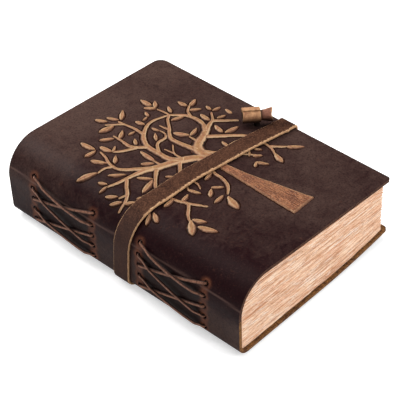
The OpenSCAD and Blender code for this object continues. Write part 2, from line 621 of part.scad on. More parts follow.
// Frame of the toggle's stem: z along the stem, z 0 on the outside of the front cover
stem_x = board_len - toggle_inset;
stem_y = strap_at(strap_drift, cover_w - toggle_inset) + strap_w / 2 + toggle_clear;
tip_reach = (roll_len + tip_len) / 2;
// height of the toggle's axis over the stem, so that roll and flare clear relief and strap
roll_axis_h = max(relief_h + roll_gap + roll_d / 2 + tip_reach * sin(toggle_lean),
                  strap_lift + strap_t + roll_gap + flare_d / 2 - tip_reach * sin(toggle_lean));

module at_stem() on_board(stem_x, stem_y) children();

// The toggle's axis runs along x here
module on_toggle() at_stem() translate([0, 0, roll_axis_h])
    rotate([0, 0, toggle_turn]) rotate([0, -toggle_lean, 0]) children();

// Rolled strip of leather: a wide roll, and its inner turns standing out with a flare
module toggle() color(tan_leather) placed() difference() {
    wall = roll_d / 7.4;
    step = wall / 2;
    corners = 36;
    on_toggle() {
        // wide roll, whose outer turn ends in a step
        translate([-tip_reach, 0, 0]) rotate([90, 0, 90]) linear_extrude(roll_len)
            difference() {
                polygon([for (i = [0:corners]) let (a = 360 * i / corners + 150)
                    (roll_d / 2 - step + step * i / corners) * [cos(a), sin(a)]]);
                circle(r = roll_bore / 2 + wall / 4, $fn = 36);
            }
        rotate([0, 90, 0]) rotate_extrude($fn = 48) polygon([
            [roll_bore / 2, -tip_reach], [roll_bore / 2 + wall, -tip_reach],
            [roll_bore / 2 + wall, roll_len - tip_reach + wall], [flare_d / 2, tip_reach],
            [flare_d / 2 - wall, tip_reach], [roll_bore / 2, roll_len - tip_reach]]);
    }
    at_stem() cylinder(d = stem_d + 2 * hole_gap, h = roll_axis_h, $fn = 32);
}

// Leather stem with its knot inside the roll and its foot flush with the cover's inside
module toggle_stem() color(thong_leather) placed() at_stem() {
    translate([0, 0, -leather_t]) cylinder(d = stem_d, h = leather_t + roll_axis_h, $fn = 32);
    translate([0, 0, roll_axis_h]) sphere(d = roll_bore - 2 * hole_gap, $fn = 32);
}

front_cover();
spine();
back_cover();
text_block();
lace_tail();
lace_head();
strap_front();
strap_spine();
strap_back();
toggle();
toggle_stem();
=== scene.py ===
"""Looks of a leather journal with an embossed tree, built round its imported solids. Metres."""
import json
import math
import random

import bmesh
import bpy
from mathutils import Matrix, Vector, noise

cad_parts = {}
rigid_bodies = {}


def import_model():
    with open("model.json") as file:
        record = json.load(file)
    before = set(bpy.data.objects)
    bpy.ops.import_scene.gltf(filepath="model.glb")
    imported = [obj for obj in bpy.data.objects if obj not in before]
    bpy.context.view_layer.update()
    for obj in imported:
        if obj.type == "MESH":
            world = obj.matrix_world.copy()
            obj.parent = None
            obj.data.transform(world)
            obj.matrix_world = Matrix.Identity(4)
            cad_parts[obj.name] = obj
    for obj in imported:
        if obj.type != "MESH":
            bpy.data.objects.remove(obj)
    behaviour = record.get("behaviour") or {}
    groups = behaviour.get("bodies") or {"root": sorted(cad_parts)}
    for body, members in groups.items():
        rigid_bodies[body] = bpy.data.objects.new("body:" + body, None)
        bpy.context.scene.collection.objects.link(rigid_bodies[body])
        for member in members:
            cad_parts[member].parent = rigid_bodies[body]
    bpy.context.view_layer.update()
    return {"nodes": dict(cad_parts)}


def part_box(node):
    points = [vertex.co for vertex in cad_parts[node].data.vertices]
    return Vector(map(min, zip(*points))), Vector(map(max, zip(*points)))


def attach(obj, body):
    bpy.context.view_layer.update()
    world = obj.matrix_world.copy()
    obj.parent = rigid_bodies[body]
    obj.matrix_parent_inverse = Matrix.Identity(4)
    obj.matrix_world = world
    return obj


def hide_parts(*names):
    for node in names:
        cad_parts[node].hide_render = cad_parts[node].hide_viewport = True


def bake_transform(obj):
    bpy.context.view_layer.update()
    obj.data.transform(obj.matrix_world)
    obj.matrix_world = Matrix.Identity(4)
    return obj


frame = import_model()

bl_info = {
    "name": "Leather Journal",
    "version": (1, 0, 0),
    "blender": (4, 5, 0),
    "location": "3D View > Sidebar > Journal",
    "description": "Dresses a closed leather journal: covers, embossed tree, pages, lacing, strap and toggle",
    "category": "Add Mesh",
}

MM = 0.001

# Places that the solids give: the spine's face, the tail edge, the fore edge and the head edge
SPINE_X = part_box("spine")[0][0]
TAIL_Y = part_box("front_cover")[0][1]
COVER_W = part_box("front_cover")[1][0] - SPINE_X
COVER_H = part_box("front_cover")[1][1] - TAIL_Y
STRAP_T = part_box("back_cover")[0][2]
PAGES_LOW, PAGES_HIGH = (Vector(corner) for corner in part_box("text_block"))

# Limbs of the tree as [x, y, width] in millimetres from the foot of the trunk
LIMBS = [
    [[-2.5, 65.5, 8], [-7, 71.5, 6.5], [-13, 76, 6], [-20.5, 79.5, 5.5], [-28.5, 82, 5],
     [-36, 85.5, 3.8], [-47.5, 87.5, 2.4], [-54.5, 88.5, 1.8], [-59.5, 91, 1.2]],
    [[-48.5, 87.5, 2.4], [-53.5, 82.5, 2.2], [-57.5, 78, 2.2], [-61.5, 75.5, 1.8], [-67, 75, 1.2]],
    [[-58.5, 78, 1.4], [-61.5, 80, 1]],
    [[-31.5, 83.5, 3.6], [-39, 90, 2.6], [-45, 96, 2.2], [-46, 100.5, 2.2], [-45, 105.5, 2],
     [-42.5, 110.5, 1.6], [-41.5, 115.5, 1]],
    [[-46.5, 101, 1.6], [-50, 103, 1.4], [-55, 103, 1]],
    [[-31, 81.5, 2.8], [-37.5, 76, 2.2], [-43.5, 69.5, 2], [-44.5, 61.5, 1.8], [-43.5, 53.5, 1.8],
     [-41.5, 47.5, 2], [-48, 41.5, 1.8], [-51.5, 37, 1.2]],
    [[-42, 49, 1.8], [-38.5, 43, 1.6], [-36, 38.5, 1]],
    [[-17, 77, 2.8], [-21.5, 72.5, 2.2], [-25.5, 68.5, 1.8], [-30, 60, 1.4], [-32.5, 55.5, 1]],
    [[-14, 76.5, 4.2], [-19, 82.5, 3.8], [-19.5, 90.5, 3.6], [-19.5, 97.5, 3.6], [-18.5, 102, 3.2],
     [-15, 107.5, 3], [-11, 111, 2.6], [-5, 114.5, 2.2], [0.5, 115.5, 1.8], [5.5, 114.5, 1.4],
     [11, 113, 1]],
    [[-19.5, 99.5, 2.6], [-24.5, 104.5, 2.2], [-26, 108.5, 2], [-25.5, 114.5, 1.6], [-25.5, 121, 1]],
    [[-23.5, 103.5, 2.2], [-31.5, 107, 1.8], [-36, 110.5, 1.2]],
    [[-12.5, 110, 2.4], [-12, 117.5, 1.8], [-13, 124.5, 1.6], [-13.5, 129, 1.2]],
    [[-13, 125, 1.4], [-17, 129, 1.2], [-21, 132.5, 0.8]],
    [[-19, 91, 2.2], [-15, 96.5, 2], [-11.5, 98.5, 1.8], [-6.5, 98.5, 1.6], [-3.5, 101.5, 1.2],
     [-3.5, 105.5, 0.8]],
    [[-14, 77.5, 1.8], [-13.5, 84.5, 1.2], [-8.5, 90.5, 0.8]],
    [[-13.5, 84, 1.2], [-14.5, 91, 0.8]],
    [[-2.5, 67.5, 8], [-2.5, 73.5, 7], [-1, 78, 6.5], [3.5, 81.5, 5.4], [10, 84, 5], [15, 86.5, 4.2],
     [20.5, 89, 3], [25.5, 91, 2], [30, 96, 1.2]],
    [[-2.5, 77.5, 4.2], [-3.5, 83.5, 3.4], [-4.5, 89.5, 3], [-4.5, 95.5, 2.8], [-2, 99.5, 2.4],
     [3, 104.5, 2], [7.5, 110, 1.8], [11.5, 113, 1.4], [11.5, 117.5, 1.2], [11, 121.5, 1]],
    [[14, 86, 3.8], [18, 91, 3], [19.5, 96.5, 2.8], [19, 102, 2.4], [17, 106.5, 2], [14, 110, 1.6],
     [11.5, 113, 1.2]],
    [[19, 102, 2], [22, 107.5, 1.8], [26.5, 110.5, 1.2]],
    [[24.5, 90.5, 2.2], [30, 85, 1.8], [35, 80, 1.4]],
    [[10.5, 82.5, 3], [16.5, 77, 2.6], [23, 71, 2.2], [27, 66, 2], [28, 59.5, 1.8], [28.5, 53.5, 1.6],
     [28, 48, 1.6], [24.5, 42, 1.2]],
    [[28.5, 50, 1.6], [32.5, 45, 1.4], [36, 41.5, 1]],
    [[-1, 73.5, 3.4], [3, 68, 2.2], [7.5, 61.5, 1.8], [12.5, 56, 1.4], [17, 50, 1]],
    [[-6, 69.5, 3.2], [-9, 61.5, 2.2], [-11.5, 55.5, 2], [-12, 49.5, 2], [-14.5, 43, 2], [-20, 38, 1.2]],
    [[4, 82, 2], [4, 89, 1]],
    [[-26.5, 82.5, 1.8], [-26.5, 88.5, 1]],
    [[1, 102.5, 1.4], [0, 109, 0.8]],
    [[-25.5, 62, 1.4], [-25, 56, 1.2], [-27, 52, 0.8]],
]

# Leaves as [x, y, length, width, angle] in millimetres and degrees from the foot of the trunk
LEAVES = [
    [-60.5, 106.5, 11, 3.8, -36], [-46.5, 118.5, 7.5, 3.2, -4], [-42.5, 124.5, 10, 3.6, -84],
    [-48.5, 109.5, 9, 3.4, -62], [-40.5, 104.5, 6.5, 2.8, 42], [-37.5, 115, 8, 3.8, -80],
    [-34, 112, 5, 2, 32], [-30.5, 121.5, 8, 3, -35], [-23.5, 129, 9.5, 4.6, -10],
    [-21.5, 119, 7.5, 3, 32], [-20, 137, 7, 3, -62], [-14, 133.5, 7, 2.4, -65],
    [-7.5, 132.5, 9, 3.2, 40], [-6, 119, 6, 3, -78], [-1, 120, 4, 1.8, 8], [3, 122.5, 4.5, 2.4, 72],
    [11, 131, 8, 3.8, 92], [8.5, 125.5, 6.5, 3.2, 128], [13.5, 126, 6.5, 3, 48],
    [15.5, 116, 6, 2.6, 62], [25, 114.5, 6.5, 3, 97], [30, 111, 7, 3.4, 16], [26, 105, 6.5, 2.8, -38],
    [12.5, 106.5, 8, 3, -18], [2.5, 94, 9, 3.8, -60], [9, 90.5, 7.5, 3, 16], [24, 95.5, 7.5, 3.8, 84],
    [32.5, 100.5, 4.5, 2.2, 82], [35, 96.5, 5.5, 2.4, -10], [38, 89.5, 5.5, 2.6, 84],
    [31, 89, 5.5, 2.6, -18], [21, 82, 7.5, 3.4, 76], [25.5, 76, 9, 3.6, -10], [12.5, 69, 6, 2.6, 82],
    [17, 66.5, 8, 2.6, -6], [-26, 93.5, 11, 3.4, 86], [-31, 88.5, 7, 3, -42], [-50, 93.5, 9.5, 2.6, -42],
    [-59.5, 95, 5.5, 2.2, -72], [-62, 92, 5, 2, -16], [-63, 84.5, 7, 2.4, -64],
    [-64.5, 79.5, 7, 2.4, -56], [-41.5, 80, 8.5, 2.6, -54], [-45.5, 74, 11.5, 3.8, 18],
    [-61, 72.5, 6.5, 2.4, -52], [-55, 69.5, 5, 2, -38], [-31, 71, 5, 2, -52], [-9.5, 103, 6.5, 2.4, 52],
    [-21, 108, 5.5, 2.6, 55], [-16.5, 115.5, 4.5, 2, -6], [-4.5, 108, 5, 2, -80],
    [-63, 56.5, 6, 2.6, 22], [-60.5, 53.5, 6.5, 3, 62], [-48, 55.5, 8, 3, 6], [-39, 52, 6.5, 2.8, 14],
    [-31.5, 52, 7.5, 2.6, -70], [-26, 45, 6.5, 2.8, 38], [-20, 45.5, 6.5, 2.4, -45],
    [-27, 38, 7.5, 2.8, 6], [-24, 30.5, 11, 5, 70], [-54.5, 32.5, 10.5, 4.6, 48],
    [-48, 33, 7.5, 3.2, -62], [-50, 25, 10.5, 4.2, -68], [-16, 56, 7, 2.6, 14], [17, 48.5, 5, 2.2, -42],
    [10, 44, 4, 2.2, 38], [13.5, 42, 7, 2.6, -62], [23.5, 38.5, 8.5, 3.8, 70],
    [38, 38.5, 9.5, 3.2, -48], [21.5, 52.5, 4.5, 1.8, -58], [15.5, 53.5, 5, 1.8, 42],
]

# Left and right edge of the trunk as [y, left x, right x] in millimetres from its foot
TRUNK = [[0, -8.5, 10], [4, -8.4, 8.9], [11.5, -8.1, 7.2], [21.5, -7.6, 5.2], [31.5, -7.2, 3],
         [43.5, -6.6, 0.6], [56.5, -6.2, -1], [63, -6.3, 0], [69, -6.5, 1.5]]

# Middle of the strap as [x, y beside its place at mid cover], both as shares of the cover's width
STRAP_DRIFT = [[-0.05, 0.0354], [0.03, 0.0236], [0.1, 0.0094], [0.18, 0.0031], [0.4, 0.0063],
               [0.56, -0.0071], [0.72, -0.0197], [0.86, -0.0378], [0.97, -0.0512], [1.04, -0.0543]]
STRAP_UNDER = [[-0.05, 0.0488], [0.06, 0.0472], [0.5, 0.0118], [1, -0.0525], [1.04, -0.0543]]

# Lacing as [from the head column or not, row, row, over or not], rows counted from the top
OUTER_RUNS = [[True, 1, 2, True], [True, 2, 4, True], [True, 4, 5, True],
              [False, 1, 3, False], [False, 3, 5, False]]


def length(name, default, description):
    """A length property, in metres."""
    return bpy.props.FloatProperty(name=name, default=default, description=description,
                                   unit="LENGTH", precision=5)


def colour(name, default, description):
    """A linear RGB colour property."""
    return bpy.props.FloatVectorProperty(name=name, default=default, description=description,
                                         subtype="COLOR", size=3, min=0, max=1)


def number(name, default, description):
    return bpy.props.FloatProperty(name=name, default=default, description=description)


class JournalSizes(bpy.types.PropertyGroup):
    """Sizes of the journal that its solids also have"""
    spine_t: length("Spine Thickness", 48.5 * MM, "Thickness of the book near the spine")
    fore_drop: length("Fore Drop", 5.6 * MM, "Fall of the front cover to the fore edge")
    fore_lift: length("Fore Lift", 4.5 * MM, "Rise of the back cover at the fore edge")
    lift_x: length("Lift Start", 66 * MM, "Distance from the spine where the back cover rises")
    leather_t: length("Leather", 2 * MM, "Thickness of the cover leather")
    shoulder_r: length("Shoulder Radius", 21 * MM, "Outside radius between spine and front")
    heel_r: length("Heel Radius", 7 * MM, "Outside radius between spine and back")
    head_corner_r: length("Head Corner", 6 * MM, "Radius of the covers' corner at the head")
    tail_corner_r: length("Tail Corner", 2 * MM, "Radius of the covers' corner at the tail")
    relief_h: length("Relief", 0.8 * MM, "Height of the embossed tree")
    outline_w: length("Outline", 0.45 * MM, "Width of the dark groove round the tree")
    tree_x: length("Tree X", 74.5 * MM, "Foot of the trunk from the spine face")
    tree_y: length("Tree Y", 18.5 * MM, "Foot of the trunk from the tail edge")
    strap_w: length("Strap Width", 11.5 * MM, "Width of the strap")
    strap_y: length("Strap Place", 81 * MM, "Middle of the strap from the tail edge")
    thong_w: length("Thong Width", 2 * MM, "Width of the lacing thong")
    thong_t: length("Thong Thickness", 1.1 * MM, "Thickness of the lacing thong")
    hole_d: length("Lace Hole", 3.2 * MM, "Diameter of the lacing holes")
    row_first: length("First Row", 7 * MM, "Height of the lowest row of holes")
    row_pitch: length("Row Pitch", 7.6 * MM, "Distance between two rows of holes")
    lace_span: length("Lacing Span", 48 * MM, "Distance between two columns of holes")
    tail_lace_y: length("Tail Lacing", 49 * MM, "Middle of the lacing near the tail")
    head_lace_y: length("Head Lacing", 133.5 * MM, "Middle of the lacing near the head")
    toggle_inset: length("Toggle Inset", 13 * MM, "Place of the toggle's stem from the fore edge")
    toggle_clear: length("Toggle Place", 6 * MM, "Place of the toggle's stem from the strap")
    roll_len: length("Roll Length", 10.5 * MM, "Length of the toggle's wide roll")
    roll_d: length("Roll Diameter", 10.4 * MM, "Outside diameter of the toggle's wide roll")
    tip_len: length("Tip Length", 7.5 * MM, "Length of the toggle's narrow roll")
    flare_d: length("Flare Diameter", 9.4 * MM, "Diameter of the flared end of the narrow roll")
    roll_bore: length("Roll Bore", 5 * MM, "Inside diameter of the roll")
    toggle_turn: number("Toggle Turn", -42, "Angle of the toggle from the fore edge's normal, in degrees")
    toggle_lean: number("Toggle Lean", 2, "Upward lean of the toggle's flared end, in degrees")
    leaf_fullness: number("Leaf Fullness", 1.1, "Width of the leaves beside the ones listed")
    front_fold: number("Front Fold", 37, "Place of the front fold up the shoulder, in degrees")
    back_fold: number("Back Fold", 45, "Place of the back fold down the heel, in degrees")


class JournalFinish(bpy.types.PropertyGroup):
    """Colours of the journal's leathers and paper"""
    dark: colour("Dark Leather", (0.013, 0.0024, 0.004), "Deepest brown of the covers")
    # warm is the lighter brown that the tone map brings in, partly the leather's own tone and partly painted
    # sheen.
    warm: colour("Bloomed Leather", (0.085, 0.05, 0.04), "Lighter brown of the covers, where the wax dulls")
    # rim: the lighter ridges of the relief, partly worn tan and partly a painted highlight.
    rim: colour("Relief Rim", (0.385, 0.225, 0.125), "Rubbed rims of the relief")
    crest: colour("Relief Core", (0.3, 0.16, 0.062), "Middle of the relief's limbs and leaves")
    trunk: colour("Trunk", (0.38, 0.15, 0.07), "Face of the trunk")
    raw: colour("Raw Edge", (0.58, 0.35, 0.19), "Cut edges of the strap and toggle")
    strap: colour("Strap", (0.085, 0.036, 0.02), "Face of the strap")
    # thong: the lighter top of the thong, partly worn and partly a painted highlight.
    thong: colour("Thong", (0.28, 0.128, 0.08), "Rubbed middle of the lacing thong")
    paper: colour("Paper", (0.96, 0.69, 0.49), "Cream of the pages")
    stain: colour("Paper Stain", (0.62, 0.29, 0.15), "Tan and pink streaks of the pages")
    floor: colour("Floor", (0.8, 0.8, 0.8), "Floor and backdrop")


def sizes():
    return bpy.context.scene.journal_sizes


def finish_colours():
    return bpy.context.scene.journal_finish


def at(pairs, x):
    """Value of a list of [x, y] pairs at x."""
    i = 0
    while i < len(pairs) - 2 and x >= pairs[i + 1][0]:
        i += 1
    (x0, y0), (x1, y1) = pairs[i], pairs[i + 1]
    return y0 + (y1 - y0) * (x - x0) / (x1 - x0)


def ease(x, a, b):
    """Smooth step from 0 to 1 while x goes from a to b."""
    t = max(0.0, min(1.0, (x - a) / (b - a)))
    return t * t * (3 - 2 * t)


class Section:
    """The outside of the cover in X and Z, by the way along the leather from mid spine.

    The way is positive up over the shoulder and the front cover, and negative down round the heel.
    """

    def __init__(self):
        s = sizes()
        self.s = s
        self.slope = math.atan(s.fore_drop / (COVER_W - s.shoulder_r))
        self.bend_z = STRAP_T + s.spine_t - s.shoulder_r
        self.board = ((COVER_W - s.shoulder_r - s.shoulder_r * math.sin(self.slope))
                      / math.cos(self.slope))
        self.split_z = STRAP_T + 26 * MM
        self.to_shoulder = self.bend_z - self.split_z
        self.arc = s.shoulder_r * (math.pi / 2 + self.slope)
        self.to_heel = self.split_z - STRAP_T - s.heel_r
        self.heel_arc = s.heel_r * math.pi / 2
        self.front_end = self.to_shoulder + self.arc + self.board
        self.back_end = -(self.to_heel + self.heel_arc + COVER_W - s.heel_r)

    def back_z(self, x):
        s = self.s
        rise = max(0.0, (x - s.lift_x) / (COVER_W - s.lift_x))
        return STRAP_T + s.fore_lift * rise ** 2

    def frame_at(self, way):
        """Point (x, z) on the outside and its outward normal (x, z), in the book's own frame."""
        s = self.s
        if way > self.to_shoulder + self.arc:
            d = way - self.to_shoulder - self.arc
            sin, cos = math.sin(self.slope), math.cos(self.slope)
            return ((s.shoulder_r * (1 + sin) + d * cos, self.bend_z + s.shoulder_r * cos - d * sin),
                    (sin, cos))
        if way > self.to_shoulder:
            a = (way - self.to_shoulder) / s.shoulder_r
            n = (-math.cos(a), math.sin(a))
            return (s.shoulder_r * (1 + n[0]), self.bend_z + s.shoulder_r * n[1]), n
        if way > -self.to_heel:
            return (0.0, self.split_z + way), (-1.0, 0.0)
        if way > -self.to_heel - self.heel_arc:
            a = (-way - self.to_heel) / s.heel_r
            n = (-math.cos(a), -math.sin(a))
            return (s.heel_r * (1 + n[0]), STRAP_T + s.heel_r * (1 + n[1])), n
        x = s.heel_r - way - self.to_heel - self.heel_arc
        run = 0.001
        fall = (self.back_z(x + run) - self.back_z(x - run)) / (2 * run)
        size = math.hypot(fall, 1)
        return (x, self.back_z(x)), (fall / size, -1 / size)

    def point(self, way, y, off=0.0):
        """Place in the frame at a way along the leather, y from the tail and off from the outside."""
        (x, z), n = self.frame_at(way)
        return Vector((SPINE_X + x + n[0] * off, TAIL_Y + y, z + n[1] * off))

    def way_at_height(self, h):
        """Way of a place on the spine by its height along the leather above the book's underside."""
        return h + STRAP_T - self.split_z

    def way_at_x(self, x):
        """Way of the place on the front that lies at x from the spine face, seen from above."""
        s = self.s
        if x > s.shoulder_r * (1 + math.sin(self.slope)):
            return (self.to_shoulder + self.arc
                    + (x - s.shoulder_r * (1 + math.sin(self.slope))) / math.cos(self.slope))
        return self.to_shoulder + s.shoulder_r * math.acos(max(-1.0, min(1.0, 1 - x / s.shoulder_r)))

    def fold_points(self, centre, radius, start, end, down):
        """Start and end of a fold on a bend, as places in the frame."""
        cx, cz = centre
        out = []
        for degrees in (start, end):
            a = math.radians(degrees)
            out.append((SPINE_X + cx - radius * math.cos(a), 0.0,
                        cz + (-1 if down else 1) * radius * math.sin(a)))
        return out

    def front_fold(self):
        s = self.s
        return self.fold_points((s.shoulder_r, self.bend_z), s.shoulder_r - s.leather_t / 2,
                                s.front_fold - 4, s.front_fold + 8, False)

    def back_fold(self):
        s = self.s
        return self.fold_points((s.heel_r, STRAP_T + s.heel_r), s.heel_r - s.leather_t / 2,
                                s.back_fold - 22, s.back_fold + 24, True)


def add_object(name, mesh):
    thing = bpy.data.objects.new(name, mesh)
    bpy.context.scene.collection.objects.link(thing)
    return thing


def add_mesh(name, verts, faces, smooth=True):
    mesh = bpy.data.meshes.new(name)
    mesh.from_pydata([tuple(v) for v in verts], [], faces)
    mesh.polygons.foreach_set("use_smooth", [smooth] * len(mesh.polygons))
    mesh.update()
    return add_object(name, mesh)


def apply_modifiers(thing):
    """Turns the object with its modifiers into a plain mesh."""
    graph = bpy.context.evaluated_depsgraph_get()
    mesh = bpy.data.meshes.new_from_object(thing.evaluated_get(graph), depsgraph=graph,
                                           preserve_all_data_layers=True)
    mesh.name = thing.name
    thing.modifiers.clear()
    old = thing.data
    if thing.type == "MESH":
        thing.data = mesh
        bpy.data.meshes.remove(old)
        return thing
    name = thing.name
    bpy.data.objects.remove(thing)
    return add_object(name, mesh)


def set_point_values(thing, name, values):
    layer = thing.data.attributes.new(name, "FLOAT", "POINT")
    layer.data.foreach_set("value", values)


def outwards(thing):
    """Turns every face of a closed mesh outwards."""
    b = bmesh.new()
    b.from_mesh(thing.data)
    bmesh.ops.recalc_face_normals(b, faces=b.faces)
    b.to_mesh(thing.data)
    b.free()
    thing.data.update()


def sharp_by_angle(thing, degrees):
    """Keeps edges crisp where faces meet at more than an angle."""
    b = bmesh.new()
    b.from_mesh(thing.data)
    limit = math.radians(degrees)
    for edge in b.edges:
        edge.smooth = len(edge.link_faces) == 2 and edge.calc_face_angle(0) < limit
    b.to_mesh(thing.data)
    b.free()


# Materials

class Shader:
    """A node material with short calls for the nodes that the journal's finishes use."""

    def __init__(self, name):
        self.material = bpy.data.materials.new(name)
        self.material.use_nodes = True
        self.tree = self.material.node_tree
        self.surface = self.tree.nodes["Principled BSDF"]

    def node(self, kind, **values):
        made = self.tree.nodes.new(kind)
        for key, value in values.items():
            setattr(made, key, value)
        return made

    def plug(self, socket, value):
        """Links a socket, or sets a constant on it."""
        if isinstance(value, bpy.types.NodeSocket):
            self.tree.links.new(value, socket)
        elif isinstance(value, (tuple, list)) or hasattr(value, "to_tuple") or hasattr(value, "__len__"):
            socket.default_value = (*value, 1.0) if len(socket.default_value) == 4 else tuple(value)
        else:
            socket.default_value = value

    def place(self):
        return self.node("ShaderNodeTexCoord").outputs["Object"]

    def uv(self):
        return self.node("ShaderNodeUVMap").outputs["UV"]

    def value_of(self, name):
        return self.node("ShaderNodeAttribute", attribute_name=name).outputs["Fac"]

    def stretched(self, vector, scale):
        mapping = self.node("ShaderNodeMapping")
        self.plug(mapping.inputs["Vector"], vector)
        mapping.inputs["Scale"].default_value = scale
        return mapping.outputs["Vector"]

    def noise(self, vector, size, detail=4.0, roughness=0.55, distortion=0.0):
        """Noise with blobs of about a size in metres."""
        made = self.node("ShaderNodeTexNoise")
        self.plug(made.inputs["Vector"], vector)
        made.inputs["Scale"].default_value = 1 / size
        made.inputs["Detail"].default_value = detail
        made.inputs["Roughness"].default_value = roughness
        made.inputs["Distortion"].default_value = distortion
        return made.outputs["Fac"]

    def cells(self, vector, size, feature="F1"):
        made = self.node("ShaderNodeTexVoronoi", feature=feature)
        self.plug(made.inputs["Vector"], vector)
        made.inputs["Scale"].default_value = 1 / size
        return made.outputs["Distance"]

    def ramp(self, value, low, high, out_low=0.0, out_high=1.0):
        made = self.node("ShaderNodeMapRange")
        self.plug(made.inputs["Value"], value)
        for name, number_in in (("From Min", low), ("From Max", high), ("To Min", out_low),
                                ("To Max", out_high)):
            made.inputs[name].default_value = number_in
        return made.outputs["Result"]

    def math(self, operation, a, b=0.0):
        made = self.node("ShaderNodeMath", operation=operation)
        self.plug(made.inputs[0], a)
        self.plug(made.inputs[1], b)
        return made.outputs[0]

    def mix(self, factor, a, b, blend="MIX"):
        """Mix of two colours."""
        made = self.node("ShaderNodeMix", data_type="RGBA", blend_type=blend)
        self.plug(made.inputs["Factor"], factor)
        self.plug(made.inputs["A"], a)
        self.plug(made.inputs["B"], b)
        return made.outputs["Result"]

    def bump(self, height, distance, strength=1.0, under=None):
        made = self.node("ShaderNodeBump")
        self.plug(made.inputs["Height"], height)
        made.inputs["Distance"].default_value = distance
        made.inputs["Strength"].default_value = strength
        if under is not None:
            self.plug(made.inputs["Normal"], under)
        return made.outputs["Normal"]

    def finish(self, colour_in, roughness, normal=None, specular=0.5):
        self.plug(self.surface.inputs["Base Color"], colour_in)
        self.plug(self.surface.inputs["Roughness"], roughness)
        self.surface.inputs["Specular IOR Level"].default_value = specular
        self.surface.inputs["Specular Tint"].default_value = (1.0, 0.8, 0.7, 1.0)
        if normal is not None:
            self.plug(self.surface.inputs["Normal"], normal)
        return self.material


def grain(shader, place):
    """Fine leather grain: small cells with creases and pores."""
    cells = shader.cells(place, 0.9 * MM)
    creases = shader.noise(place, 5 * MM, 6, 0.6, 0.6)
    small = shader.bump(cells, 0.05 * MM, 0.55)
    return shader.bump(creases, 0.35 * MM, 0.5, small)


def cover_leather():
    """Waxed dark leather: mottled, with a tone map that is partly its own tone and partly painted sheen and
    painted shade, painted shade where the lacing crosses the spine, reddish where it was worked round the holes.
    """
    c = finish_colours()
    m = Shader("Waxed Leather")
    place = m.place()
    cloud = m.noise(place, 30 * MM, 3, 0.5, 0.4)
    mottle = m.noise(place, 5 * MM, 6, 0.7, 0.8)
    specks = m.noise(place, 1.1 * MM, 3, 0.7)
    drift = m.math("ADD", m.ramp(cloud, 0.3, 0.7, -0.16, 0.16), m.ramp(mottle, 0.3, 0.7, -0.18, 0.18))
    # The tone map blends dark and warm: partly the leather's own tone, partly painted sheen and painted shade.
    base = m.mix(m.ramp(m.math("ADD", m.value_of("bloom"), drift), 0.0, 1.0), c.dark, c.warm)
    base = m.mix(m.ramp(specks, 0.5, 0.66, 0, 0.55), base, (0.006, 0.002, 0.003))
    base = m.mix(m.ramp(specks, 0.44, 0.3, 0, 0.1), base, (0.12, 0.065, 0.05))
    flecks = m.noise(place, 2.6 * MM, 4, 0.75, 1.2)
    base = m.mix(m.ramp(flecks, 0.58, 0.75, 0, 0.5), base, (0.09, 0.032, 0.02))
    # Painted shade on the spine under the lacing.
    base = m.mix(m.math("MULTIPLY", m.value_of("under"), 0.85), base, (0.01, 0.004, 0.004))
    patch = m.math("MULTIPLY", m.value_of("wear"), m.ramp(mottle, 0.3, 0.62, 0.3, 1))
    base = m.mix(patch, base, (0.15, 0.05, 0.025))
    base = m.mix(m.math("MULTIPLY", m.value_of("crease"), 0.5), base, (0.15, 0.085, 0.07))
    rough = m.ramp(mottle, 0.3, 0.7, 0.42, 0.6)
    return m.finish(base, rough, grain(m, place), 0.1)


def raw_leather(name, tint, dark):
    """Cut edge of leather: fibrous and a little lighter than the face."""
    m = Shader(name)
    place = m.place()
    fibres = m.noise(m.stretched(place, (1, 1, 3)), 0.8 * MM, 5, 0.7, 0.5)
    patches = m.noise(place, 3 * MM, 4, 0.7)
    base = m.mix(m.ramp(fibres, 0.4, 0.62), dark, tint)
    base = m.mix(m.ramp(patches, 0.48, 0.6, 0, 0.85), base, dark)
    return m.finish(base, 0.85, m.bump(fibres, 0.2 * MM, 0.8), 0.3)


